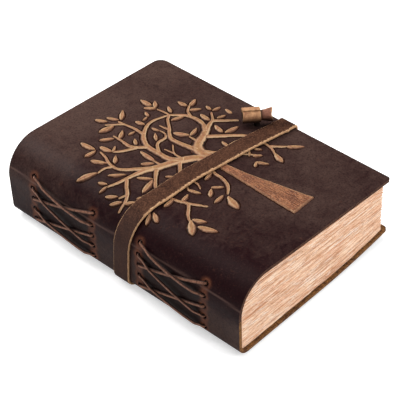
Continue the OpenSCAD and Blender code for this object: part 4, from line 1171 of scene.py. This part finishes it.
def page_block():
    """The block: a ring of points round every level, with the sheets' edges torn and grouped."""
    s = sizes()
    section = Section()
    random.seed(7)
    gap = 0.2 * MM
    levels, per_group = 152, 8
    low = STRAP_T + s.leather_t + gap
    inner_r = s.shoulder_r - s.leather_t - gap
    high = section.bend_z + inner_r
    fore = PAGES_HIGH.x - SPINE_X
    tail, head = PAGES_LOW.y - TAIL_Y, PAGES_HIGH.y - TAIL_Y
    heel_in = s.heel_r - s.leather_t - gap
    heel_z = STRAP_T + s.heel_r

    def back_x(z):
        if z > section.bend_z:
            return s.shoulder_r - math.sqrt(max(0.0, inner_r ** 2 - (z - section.bend_z) ** 2))
        if z < heel_z:
            return s.heel_r - math.sqrt(max(0.0, heel_in ** 2 - (heel_z - z) ** 2))
        return s.leather_t + gap

    def sheet_z(f, x):
        fall = max(0.0, (x - s.shoulder_r) * math.tan(section.slope)
                   + inner_r * (1 - 1 / math.cos(section.slope)))
        return low + (high - low) * f + (1 - f) * (section.back_z(x) - STRAP_T) - f * fall

    across, along = 66, 84
    rim = ([(0, j) for j in range(along + 1)] + [(i, along) for i in range(1, across + 1)]
           + [(across, j) for j in range(along - 1, -1, -1)] + [(i, 0) for i in range(across - 1, 0, -1)])
    ring = len(rim)
    verts, uvs, gaps, shades, flats, faces = [], [], [], [], [], []
    sheet_in = [random.uniform(0, 0.75) * MM for _ in range(levels + 1)]
    for k in range(levels + 1):
        f = k / levels
        group = abs((k % per_group) - per_group / 2) / (per_group / 2)
        fold = ease(group, 0.55, 1.0)
        turn = 0.0
        start = back_x(low + (high - low) * f)
        last = None
        for i, j in rim:
            x = start + (fore - start) * i / across
            y = tail + (head - tail) * j / along
            spot = Vector((x / 0.012, y / 0.012, k * 0.45))
            torn = 0.5 + 0.5 * noise.noise(spot)
            fine = 0.5 + 0.5 * noise.noise(Vector((x / 0.003, y / 0.003, k * 1.7)))
            inward = 0.6 * sheet_in[k] + 0.6 * MM * fold + 0.55 * MM * torn + 0.3 * MM * fine
            px = x - (inward if i == across else 0)
            py = y + (inward if j == 0 else -inward if j == along else 0)
            z = sheet_z(f, px)
            wobble = 0.14 * MM * noise.noise(Vector((x / 0.02, y / 0.02, k * 0.8)))
            z += wobble * math.sin(math.pi * f)
            place = Vector((SPINE_X + px, TAIL_Y + py, z))
            verts.append(place)
            turn += 0.0 if last is None else math.hypot(place.x - last.x, place.y - last.y)
            last = place
            uvs.append((turn, (high - low) * f))
            # gap: how far a sheet's edge lies back between its neighbours, for painted shade there.
            gaps.append(min(1.0, 0.7 * fold * (0.4 + 0.6 * torn) + 0.5 * max(0.0, sheet_in[k] / MM - 0.45)))
            under_cover = ease(f, 0.9, 1.0) + ease(f, 0.05, 0.0)
            shades.append(0.35 * under_cover + 0.25 * ease(noise.noise(spot * 0.4), 0.25, 0.6))
            flats.append(0.0)
    for k in range(levels):
        for g in range(ring):
            a, b = k * ring + g, k * ring + (g + 1) % ring
            faces.append([a, a + ring, b + ring, b])
    # flat top and bottom follow the covers, on a grid of their own inside the outermost ring
    for top in (0, levels):
        base = top * ring
        inner = len(verts)
        for i in range(1, across):
            for j in range(1, along):
                f = top / levels
                start = back_x(low + (high - low) * f)
                x = start + (fore - start) * i / across
                y = tail + (head - tail) * j / along
                verts.append(Vector((SPINE_X + x, TAIL_Y + y, sheet_z(f, x))))
                uvs.append((x, y))
                gaps.append(0.0)
                shades.append(0.0)
                flats.append(1.0)

        def index(i, j):
            if i == 0:
                return base + j
            if j == along:
                return base + along + i
            if i == across:
                return base + along + across + along - j
            if j == 0:
                return base + ring - i
            return inner + (i - 1) * (along - 1) + j - 1

        for i in range(across):
            for j in range(along):
                quad = [index(i, j), index(i + 1, j), index(i + 1, j + 1), index(i, j + 1)]
                faces.append(quad if top else quad[::-1])
    block = add_mesh("page_block", verts, faces)
    layer = block.data.uv_layers.new(name="UVMap")
    for loop in block.data.loops:
        layer.data[loop.index].uv = uvs[loop.vertex_index]
    set_point_values(block, "gap", gaps)
    set_point_values(block, "shade", shades)
    set_point_values(block, "face", flats)
    outwards(block)
    sharp_by_angle(block, 70)
    return block


# Lacing

def sweep(name, rings, close_ends=True):
    """Skin over a list of rings of points."""
    n = len(rings[0])
    verts = [p for ring in rings for p in ring]
    faces = [[i * n + k, i * n + (k + 1) % n, (i + 1) * n + (k + 1) % n, (i + 1) * n + k]
             for i in range(len(rings) - 1) for k in range(n)]
    if close_ends:
        faces.append(list(range(n))[::-1])
        faces.append([(len(rings) - 1) * n + k for k in range(n)])
    return verts, faces


def thong_rings(section, start, end, stations, sag):
    """Rings of a thong between two holes through stations of (distance, height off, lean)."""
    s = sizes()
    run = Vector((end[0] - start[0], end[1] - start[1]))
    total = run.length
    side = Vector((-run.y, run.x)) / total
    half_w, half_t = s.thong_w / 2, s.thong_t / 2
    shape = []
    corners = 18
    for k in range(corners):
        a = 2 * math.pi * k / corners
        c, d = math.cos(a), math.sin(a)
        shape.append((half_w * math.copysign(abs(c) ** 0.75, c),
                      half_t * (math.copysign(abs(d) ** 0.6, d) if d < 0 else d)))
    rings, tops, deeps = [], [], []
    for distance, off, lean in stations:
        u = distance / total
        bend = sag * 4 * max(0.0, u * (1 - u))
        width = 1 + 0.12 * noise.noise(Vector((distance / 0.005, start[0] * 300, start[1] * 90)))
        ring = []
        for across, thick in shape:
            d = distance - thick * math.sin(lean)
            h = off + thick * math.cos(lean)
            p = Vector(start) + run * (d / total) + side * across * width
            ring.append(section.point(section.way_at_height(p.y - bend), p.x, h))
            # tops carries the thong's lighter top and the painted shade on its sides; deeps the painted shade in
            # the holes.
            tops.append(max(0.0, 1 - (abs(across) / half_w) ** 1.4) if thick > -0.2 * half_t else 0.0)
            deeps.append(ease(off, -0.2 * MM, -1.2 * MM))
        rings.append(ring)
    return rings, tops, deeps


def outer_stations(total, over):
    """Stations of a thong from deep in one hole, across the leather, into the other hole."""
    s = sizes()
    deep = s.leather_t + s.thong_t / 2
    low = s.thong_t / 2 + 0.05 * MM
    rise = s.thong_t + 0.05 * MM if over else 0.0
    steps = 40
    into = [(0, -deep, math.pi / 2), (0, -0.8 * MM, math.pi / 2), (0.05 * MM, -0.25 * MM, 1.35),
            (0.2 * MM, 0.12 * MM, 1.0), (0.5 * MM, 0.42 * MM, 0.55), (0.85 * MM, low, 0.2)]
    middle = []
    for i in range(steps + 1):
        along = 1.3 * MM + (total - 2.6 * MM) * i / steps
        u = along / total
        middle.append((along, low + rise * ease(u, 0.06, 0.22) * ease(1 - u, 0.04, 0.14), 0.0))
    return into + middle + [(total - d, h, -a) for d, h, a in reversed(into)]


def lacing(name, middle):
    """One lacing: every outer thong of it, and the short runs inside."""
    s = sizes()
    section = Section()
    head, tail = middle + s.lace_span / 2, middle - s.lace_span / 2
    verts, faces, tops, deeps = [], [], [], []

    def row(k):
        return s.row_first + (5 - k) * s.row_pitch

    def add(start, end, stations, sag):
        rings, top, deep = thong_rings(section, start, end, stations, sag)
        more, skin = sweep(name, rings)
        base = len(verts)
        verts.extend(more)
        faces.extend([[base + i for i in face] for face in skin])
        tops.extend(top)
        deeps.extend(deep)

    for from_head, a, b, over in OUTER_RUNS:
        start = (head if from_head else tail, row(a))
        end = (tail if from_head else head, row(b))
        total = math.hypot(end[0] - start[0], end[1] - start[1])
        add(start, end, outer_stations(total, over), 2.2 * MM if over else 0.3 * MM)
    off = -s.leather_t - s.thong_t / 2 - 0.05 * MM
    for y, a, b in ((tail, 2, 1), (head, 3, 2), (tail, 4, 3), (head, 5, 4)):
        start, end = (y, row(a) - 0.6 * MM), (y, row(b) + 0.6 * MM)
        total = end[1] - start[1]
        add(start, end, [(total * k / 6, off, 0.0) for k in range(7)], 0.0)
    thing = add_mesh(name, verts, faces)
    set_point_values(thing, "top", tops)
    set_point_values(thing, "deep", deeps)
    outwards(thing)
    sharp_by_angle(thing, 60)
    return thing


class JOURNAL_OT_lacing(bpy.types.Operator):
    """Lace both thongs through the spine"""
    bl_idname = "journal.lacing"
    bl_label = "Lacing"

    def execute(self, context):
        s = sizes()
        leather = thong_leather()
        for name, node, middle in (("thong_tail", "lace_tail", s.tail_lace_y),
                                   ("thong_head", "lace_head", s.head_lace_y)):
            thing = lacing(name, middle)
            use(thing, leather)
            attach(thing, "book")
            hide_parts(node)
        return {"FINISHED"}


# Strap

def strap_middle(section, way, x):
    """Y of the strap's middle on the front, the spine or the back."""
    s = sizes()
    top, bottom = math.radians(s.front_fold), math.radians(s.back_fold)
    if way > section.to_shoulder + top * s.shoulder_r:
        return s.strap_y + at(STRAP_DRIFT, x / COVER_W) * COVER_W
    if way < -section.to_heel - bottom * s.heel_r:
        return s.strap_y + at(STRAP_UNDER, x / COVER_W) * COVER_W
    low_x, low_z = s.heel_r * (1 - math.cos(bottom)), STRAP_T + s.heel_r * (1 - math.sin(bottom))
    high_x, high_z = s.shoulder_r * (1 - math.cos(top)), section.bend_z + s.shoulder_r * math.sin(top)
    low = s.strap_y + at(STRAP_UNDER, low_x / COVER_W) * COVER_W
    high = s.strap_y + at(STRAP_DRIFT, high_x / COVER_W) * COVER_W
    z = section.frame_at(way)[0][1]
    return low + (high - low) * (z - low_z) / (high_z - low_z)


def strap_band(name, path):
    """Flat band over a path of (point, outward normal, middle y): its edges are cut raw."""
    s = sizes()
    half_w, half_t = s.strap_w / 2, STRAP_T / 2 - 0.04 * MM
    shape, raw = [], []
    top = [(-1, 0.35), (-0.985, 0.7), (-0.955, 0.93), (-0.9, 1), (-0.6, 1), (-0.2, 1), (0.2, 1), (0.6, 1),
           (0.9, 1), (0.955, 0.93), (0.985, 0.7), (1, 0.35)]
    for u, v in top + [(u, -v) for u, v in reversed(top)]:
        shape.append((u, v))
        on_front = ease(abs(u), 0.84, 0.94) if u < 0 else 0.85 * ease(abs(u), 0.9, 0.97)
        raw.append((on_front, 0.95 * ease(abs(u), 0.89, 0.96)))
    rings, edges, turns = [], [], []
    for x, z, nx, nz, y, way in path:
        lumpy = 0.2 * MM + 0.45 * MM * ease(x, 0.72 * COVER_W, 0.9 * COVER_W)
        rough = lumpy * noise.noise(Vector((way / 0.003, 1, 0)))
        wavy = 0.5 * MM * noise.noise(Vector((way / 0.03, 4, 0)))
        turned = ease(x, 16 * MM, 2 * MM)
        ring = []
        for (u, v), (on_front, on_spine) in zip(shape, raw):
            across = half_w * u + wavy + rough * (1 if u < 0 else -1) * (abs(u) > 0.8)
            off = half_t * (1 + v) + 0.02 * MM
            ring.append(Vector((SPINE_X + x + nx * off, TAIL_Y + y + across, z + nz * off)))
            edges.append(on_front + (on_spine - on_front) * turned)
            turns.append(turned)
        rings.append(ring)
    verts, faces = sweep(name, rings)
    band = add_mesh(name, verts, faces)
    set_point_values(band, "edge", edges)
    set_point_values(band, "turned", turns)
    outwards(band)
    sharp_by_angle(band, 60)
    return band


def front_strap_path(section):
    """Underside of the strap from mid spine over the front and down the fore edge."""
    s = sizes()
    lift_from = section.to_shoulder + math.radians(s.front_fold) * s.shoulder_r
    lift_to = section.to_shoulder + section.arc * 0.75
    over = s.relief_h + 0.05 * MM
    bend_r = 1.3 * MM
    wall_x = COVER_W + 0.4 * MM
    path = []
    end_way = section.front_end - 0.9 * MM
    for way in steps_between(0, end_way, 0.9 * MM) + [end_way]:
        (x, z), (nx, nz) = section.frame_at(way)
        off = 0.05 * MM + over * ease(way, lift_from, lift_to)
        x, z = x + nx * off, z + nz * off
        path.append((x, z, nx, nz, strap_middle(section, way, x), way))
    centre = (wall_x - bend_r, path[-1][1] - bend_r * math.cos(section.slope))
    turn = math.pi / 2 - section.slope
    for k in range(1, 9):
        a = turn * (1 - k / 8)
        nx, nz = math.cos(a), math.sin(a)
        x, z = centre[0] + bend_r * nx, centre[1] + bend_r * nz
        path.append((x, z, nx, nz, strap_middle(section, end_way, x), end_way + k * 0.3 * MM))
    low_z = fore_middle(section)
    start_z = centre[1]
    for k in range(1, 19):
        z = start_z + (low_z - start_z) * k / 18
        path.append((wall_x, z, 1, 0, strap_middle(section, end_way, wall_x), end_way + 3 * MM + (start_z - z)))
    return path


def back_strap_path(section):
    """Upper side of the strap from mid spine under the back and up the fore edge."""
    bend_r = 1.3 * MM
    wall_x = COVER_W + 0.4 * MM
    path = []
    end_way = section.back_end + 0.8 * MM
    gap = 0.05 * MM
    for way in steps_between(0, end_way, 0.9 * MM) + [end_way]:
        (x, z), (nx, nz) = section.frame_at(way)
        x, z = x + nx * gap, z + nz * gap
        path.append((x, z, nx, nz, strap_middle(section, way, x), way))
    (x, z), (nx, nz) = section.frame_at(end_way)
    centre = (wall_x - bend_r, z + bend_r - gap)
    start = math.atan2(nz, nx)
    for k in range(1, 9):
        a = start * (1 - k / 8)
        nx, nz = math.cos(a), math.sin(a)
        x = centre[0] + bend_r * nx
        path.append((x, centre[1] + bend_r * nz, nx, nz,
                     strap_middle(section, -1, x), end_way - k * 0.3 * MM))
    top_z = fore_middle(section)
    for k in range(1, 19):
        z = centre[1] + (top_z - centre[1]) * k / 18
        path.append((wall_x, z, 1, 0, strap_middle(section, -1, wall_x), end_way - 3 * MM - z))
    return path


def fore_middle(section):
    """Height at the fore edge where the strap's two ends meet."""
    _, top = section.frame_at(section.front_end)[0]
    return (top + section.back_z(COVER_W)) / 2


class JOURNAL_OT_strap(bpy.types.Operator):
    """Put the strap round the book, in two halves that meet at mid spine and mid fore edge"""
    bl_idname = "journal.strap"
    bl_label = "Strap"

    def execute(self, context):
        section = Section()
        leather = strap_leather()
        for name, path, ends, body, nodes in (
                ("strap_over_front", front_strap_path(section), section.front_fold(), "front_cover",
                 ("strap_front", "strap_spine")),
                ("strap_under_back", back_strap_path(section), section.back_fold(), "back_cover",
                 ("strap_back",))):
            band = strap_band(name, path)
            use(band, leather)
            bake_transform(band)
            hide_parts(*nodes)
        return {"FINISHED"}


# Toggle

def toggle_frame(section):
    """Axes of the toggle: x along its roll towards the flared end, z up, and half its length."""
    s = sizes()
    roll_gap, strap_lift = 0.3 * MM, s.relief_h + 0.05 * MM
    reach = (s.roll_len + s.tip_len) / 2
    lean = math.radians(s.toggle_lean)
    axis_h = max(s.relief_h + roll_gap + s.roll_d / 2 + reach * math.sin(lean),
                 strap_lift + STRAP_T + roll_gap + s.flare_d / 2 - reach * math.sin(lean))
    stem_y = (s.strap_y + at(STRAP_DRIFT, 1 - s.toggle_inset / COVER_W) * COVER_W + s.strap_w / 2
              + s.toggle_clear)
    place = (Matrix.Translation((SPINE_X + s.shoulder_r, TAIL_Y, section.bend_z))
             @ Matrix.Rotation(section.slope, 4, "Y")
             @ Matrix.Translation((section.board - s.toggle_inset, stem_y, s.shoulder_r + axis_h))
             @ Matrix.Rotation(math.radians(s.toggle_turn), 4, "Z") @ Matrix.Rotation(-lean, 4, "Y"))
    return place, reach


def rolled_strip(turn_from, turn_to, radius, thickness, left, right):
    """Strip of leather rolled round the x axis, as vertices, faces and how raw each place is.

    Turns are in degrees from the top towards the spine. The radius depends on the turn and on the
    share of the strip's width, the two ends on the turn.
    """
    around, along = max(12, round(abs(turn_to - turn_from) / 6)), 22
    verts, raw = [], []
    for layer in (0, 1):
        for i in range(around + 1):
            degrees = turn_from + (turn_to - turn_from) * i / around
            a = math.radians(degrees)
            for k in range(along + 1):
                share = 0.5 - 0.5 * math.cos(math.pi * k / along)
                x = left(degrees) + (right(degrees) - left(degrees)) * share
                r = radius(degrees, share) - layer * thickness
                r -= 0.2 * MM * abs(noise.noise(Vector((x / 0.003, math.cos(a) * 2, math.sin(a) * 2))))
                verts.append(Vector((x, -r * math.sin(a), r * math.cos(a))))
                at_edge = i in (0, around) or k < 2 or k > along - 3
                raw.append(1.0 if layer or at_edge else 0.0)
    n, size = along + 1, (along + 1) * (around + 1)
    faces = []
    for i in range(around):
        for k in range(along):
            a = i * n + k
            faces.append([a, a + 1, a + n + 1, a + n])
            faces.append([size + a, size + a + n, size + a + n + 1, size + a + 1])
    rim = (list(range(n)) + [i * n + along for i in range(1, around + 1)]
           + [around * n + k for k in range(along - 1, -1, -1)] + [i * n for i in range(around - 1, 0, -1)])
    for a, b in zip(rim, rim[1:] + rim[:1]):
        faces.append([b, a, a + size, b + size])
    return verts, faces, raw


def rolled_toggle(section):
    """The toggle: a narrow roll with a flared, pointed lip, and a wide strip wound round it."""
    s = sizes()
    place, reach = toggle_frame(section)
    inner_wall, outer_wall = 1.05 * MM, 0.95 * MM
    tube_r = s.roll_bore / 2 + inner_wall
    roll_end = s.roll_len - reach
    point_at = 6

    def lip(degrees):
        """How far the lip stands out at a turn: it is pointed where the strip has its corners."""
        return max(abs(math.cos(math.radians((degrees - corner) / 2))) ** 6 for corner in (-25, 135))

    def tube_radius(degrees, share):
        x = share * 2 * reach - reach
        flare = ease(x, roll_end - 0.5 * MM, reach) ** 1.5
        wide = s.flare_d / 2 - 0.8 * MM * (1 - lip(degrees)) - tube_r
        return tube_r - 0.6 * MM * (degrees - point_at) / 360 + max(0.0, wide) * flare

    tube = rolled_strip(point_at - 8, point_at + 360 + 20, tube_radius, inner_wall,
                        lambda d: -reach + 0.3 * MM,
                        lambda d: reach - 1.3 * MM * (1 - lip(d)))
    wrap = rolled_strip(18, 18 - 360 - 40,
                        lambda d, share: s.roll_d / 2 - 0.1 * MM - (18 - d) / 400 * 1.2 * MM,
                        outer_wall,
                        lambda d: -reach + 0.25 * MM * math.sin(math.radians(d * 2)) + 0.25 * MM,
                        lambda d: roll_end + 0.35 * MM * math.sin(math.radians(d)))
    verts, faces, raw, inner, shaded = [], [], [], [], []
    for more, skin, edges in (tube, wrap):
        base = len(verts)
        on_tube = 1.0 if more is tube[0] else 0.0
        inner += [on_tube] * len(more)
        shaded += [max(0.9 * on_tube * ease(p.x, roll_end + 2.8 * MM, roll_end + 0.3 * MM),
                       0.95 * ease(p.z / p.yz.length, 0.6, -0.45)) for p in more]
        verts += [place @ p for p in more]
        faces += [[base + i for i in face] for face in skin]
        raw += edges
    roll = add_mesh("rolled_toggle", verts, faces)
    set_point_values(roll, "flesh", raw)
    set_point_values(roll, "inner", inner)
    set_point_values(roll, "shaded", shaded)
    outwards(roll)
    sharp_by_angle(roll, 50)
    return roll


class JOURNAL_OT_toggle(bpy.types.Operator):
    """Roll the toggle and finish its stem"""
    bl_idname = "journal.toggle"
    bl_label = "Toggle"

    def execute(self, context):
        roll = rolled_toggle(Section())
        use(roll, toggle_leather())
        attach(roll, "toggle")
        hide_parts("toggle")
        # The stem is coloured near black as painted shade under the roll.
        use(frame["nodes"]["toggle_stem"], raw_leather("Toggle Stem", (0.012, 0.006, 0.005),
                                                       (0.004, 0.002, 0.002)))
        return {"FINISHED"}


# Stage

class JOURNAL_OT_stage(bpy.types.Operator):
    """Light the journal on a white floor and aim the camera"""
    bl_idname = "journal.stage"
    bl_label = "Stage"

    def execute(self, context):
        floor()
        lights()
        camera()
        return {"FINISHED"}


def floor():
    c = finish_colours()
    ground = add_mesh("floor", [(-3, -3, 0), (3, -3, 0), (3, 3, 0), (-3, 3, 0)], [[0, 1, 2, 3]])
    m = Shader("White Floor")
    m.finish(c.floor, 0.9, None, 0.1)
    seen = m.node("ShaderNodeLightPath")
    glow = m.node("ShaderNodeEmission")
    m.plug(glow.inputs["Strength"], m.math("MULTIPLY", seen.outputs["Is Camera Ray"], 0.5))
    both = m.node("ShaderNodeAddShader")
    m.plug(both.inputs[0], m.surface.outputs[0])
    m.plug(both.inputs[1], glow.outputs[0])
    m.plug(m.tree.nodes["Material Output"].inputs["Surface"], both.outputs[0])
    use(ground, m.material)
    world = bpy.data.worlds.new("Studio")
    bpy.context.scene.world = world
    world.use_nodes = True
    tree = world.node_tree
    back = tree.nodes["Background"]
    back.inputs["Color"].default_value = (1, 1, 1, 1)
    path = tree.nodes.new("ShaderNodeLightPath")
    level = 0.42
    for output, change in (("Is Camera Ray", 1.0 - 0.42), ("Is Glossy Ray", 0.03 - 0.42)):
        step = tree.nodes.new("ShaderNodeMath")
        step.operation = "MULTIPLY_ADD"
        step.inputs[1].default_value = change
        tree.links.new(path.outputs[output], step.inputs[0])
        if isinstance(level, float):
            step.inputs[2].default_value = level
        else:
            tree.links.new(level, step.inputs[2])
        level = step.outputs[0]
    tree.links.new(level, back.inputs["Strength"])


def softbox(name, place, aim, size, power):
    data = bpy.data.lights.new(name, "AREA")
    data.shape = "RECTANGLE"
    data.size, data.size_y = size
    data.energy = power
    lamp = add_object(name, data)
    lamp.location = place
    lamp.rotation_euler = (Vector(aim) - Vector(place)).to_track_quat("-Z", "Y").to_euler()


def lights():
    middle = (0, 0, 0.03)
    softbox("rear_softbox", (-0.12, 0.62, 0.56), middle, (0.45, 0.3), 5.0)
    softbox("front_right_softbox", (0.55, -0.95, 0.6), middle, (0.7, 0.5), 8.0)
    softbox("top_softbox", (0.15, 0.1, 1.2), middle, (0.7, 0.7), 6.5)


def camera():
    """Camera at the photograph's angle, from a fit to the book's outlines."""
    azimuth, elevation, roll = math.radians(-45.67), math.radians(40.75), math.radians(-2.276)
    focal_px = 1449.6
    place = Vector((-0.449599, -0.4418, 0.562794))
    data = bpy.data.cameras.new("camera")
    data.sensor_width = 36
    data.lens = focal_px / 400 * data.sensor_width
    view = add_object("camera", data)
    back = Vector((math.sin(azimuth) * math.cos(elevation), -math.cos(azimuth) * math.cos(elevation),
                   math.sin(elevation)))
    right = (-back).cross(Vector((0, 0, 1))).normalized()
    up = back.cross(right)
    across = math.cos(roll) * right + math.sin(roll) * up
    above = -math.sin(roll) * right + math.cos(roll) * up
    turn = view.matrix_world.to_3x3()
    turn.col[0], turn.col[1], turn.col[2] = across, above, back
    view.matrix_world = turn.to_4x4()
    view.location = place
    data.clip_start = 0.01
    bpy.context.scene.camera = view
    bpy.context.scene.view_settings.view_transform = "Standard"


class JOURNAL_PT_panel(bpy.types.Panel):
    """The journal's pieces, sizes and finishes"""
    bl_idname = "JOURNAL_PT_panel"
    bl_label = "Leather Journal"
    bl_space_type = "VIEW_3D"
    bl_region_type = "UI"
    bl_category = "Journal"

    def draw(self, context):
        column = self.layout.column()
        for operator in OPERATORS:
            column.operator(operator.bl_idname)
        for group in (context.scene.journal_sizes, context.scene.journal_finish):
            for key in group.bl_rna.properties.keys():
                if key not in ("rna_type", "name"):
                    column.prop(group, key)


OPERATORS = (JOURNAL_OT_cover, JOURNAL_OT_tree, JOURNAL_OT_pages, JOURNAL_OT_lacing, JOURNAL_OT_strap,
             JOURNAL_OT_toggle, JOURNAL_OT_stage)
CLASSES = (JournalSizes, JournalFinish, *OPERATORS, JOURNAL_PT_panel)


def register():
    for item in CLASSES:
        bpy.utils.register_class(item)
    bpy.types.Scene.journal_sizes = bpy.props.PointerProperty(type=JournalSizes)
    bpy.types.Scene.journal_finish = bpy.props.PointerProperty(type=JournalFinish)


def unregister():
    del bpy.types.Scene.journal_finish
    del bpy.types.Scene.journal_sizes
    for item in reversed(CLASSES):
        bpy.utils.unregister_class(item)


def main():
    register()
    bpy.ops.journal.cover()
    bpy.ops.journal.tree()
    bpy.ops.journal.pages()
    bpy.ops.journal.lacing()
    bpy.ops.journal.strap()
    bpy.ops.journal.toggle()
    bpy.ops.journal.stage()


if __name__ == "__main__":
    main()
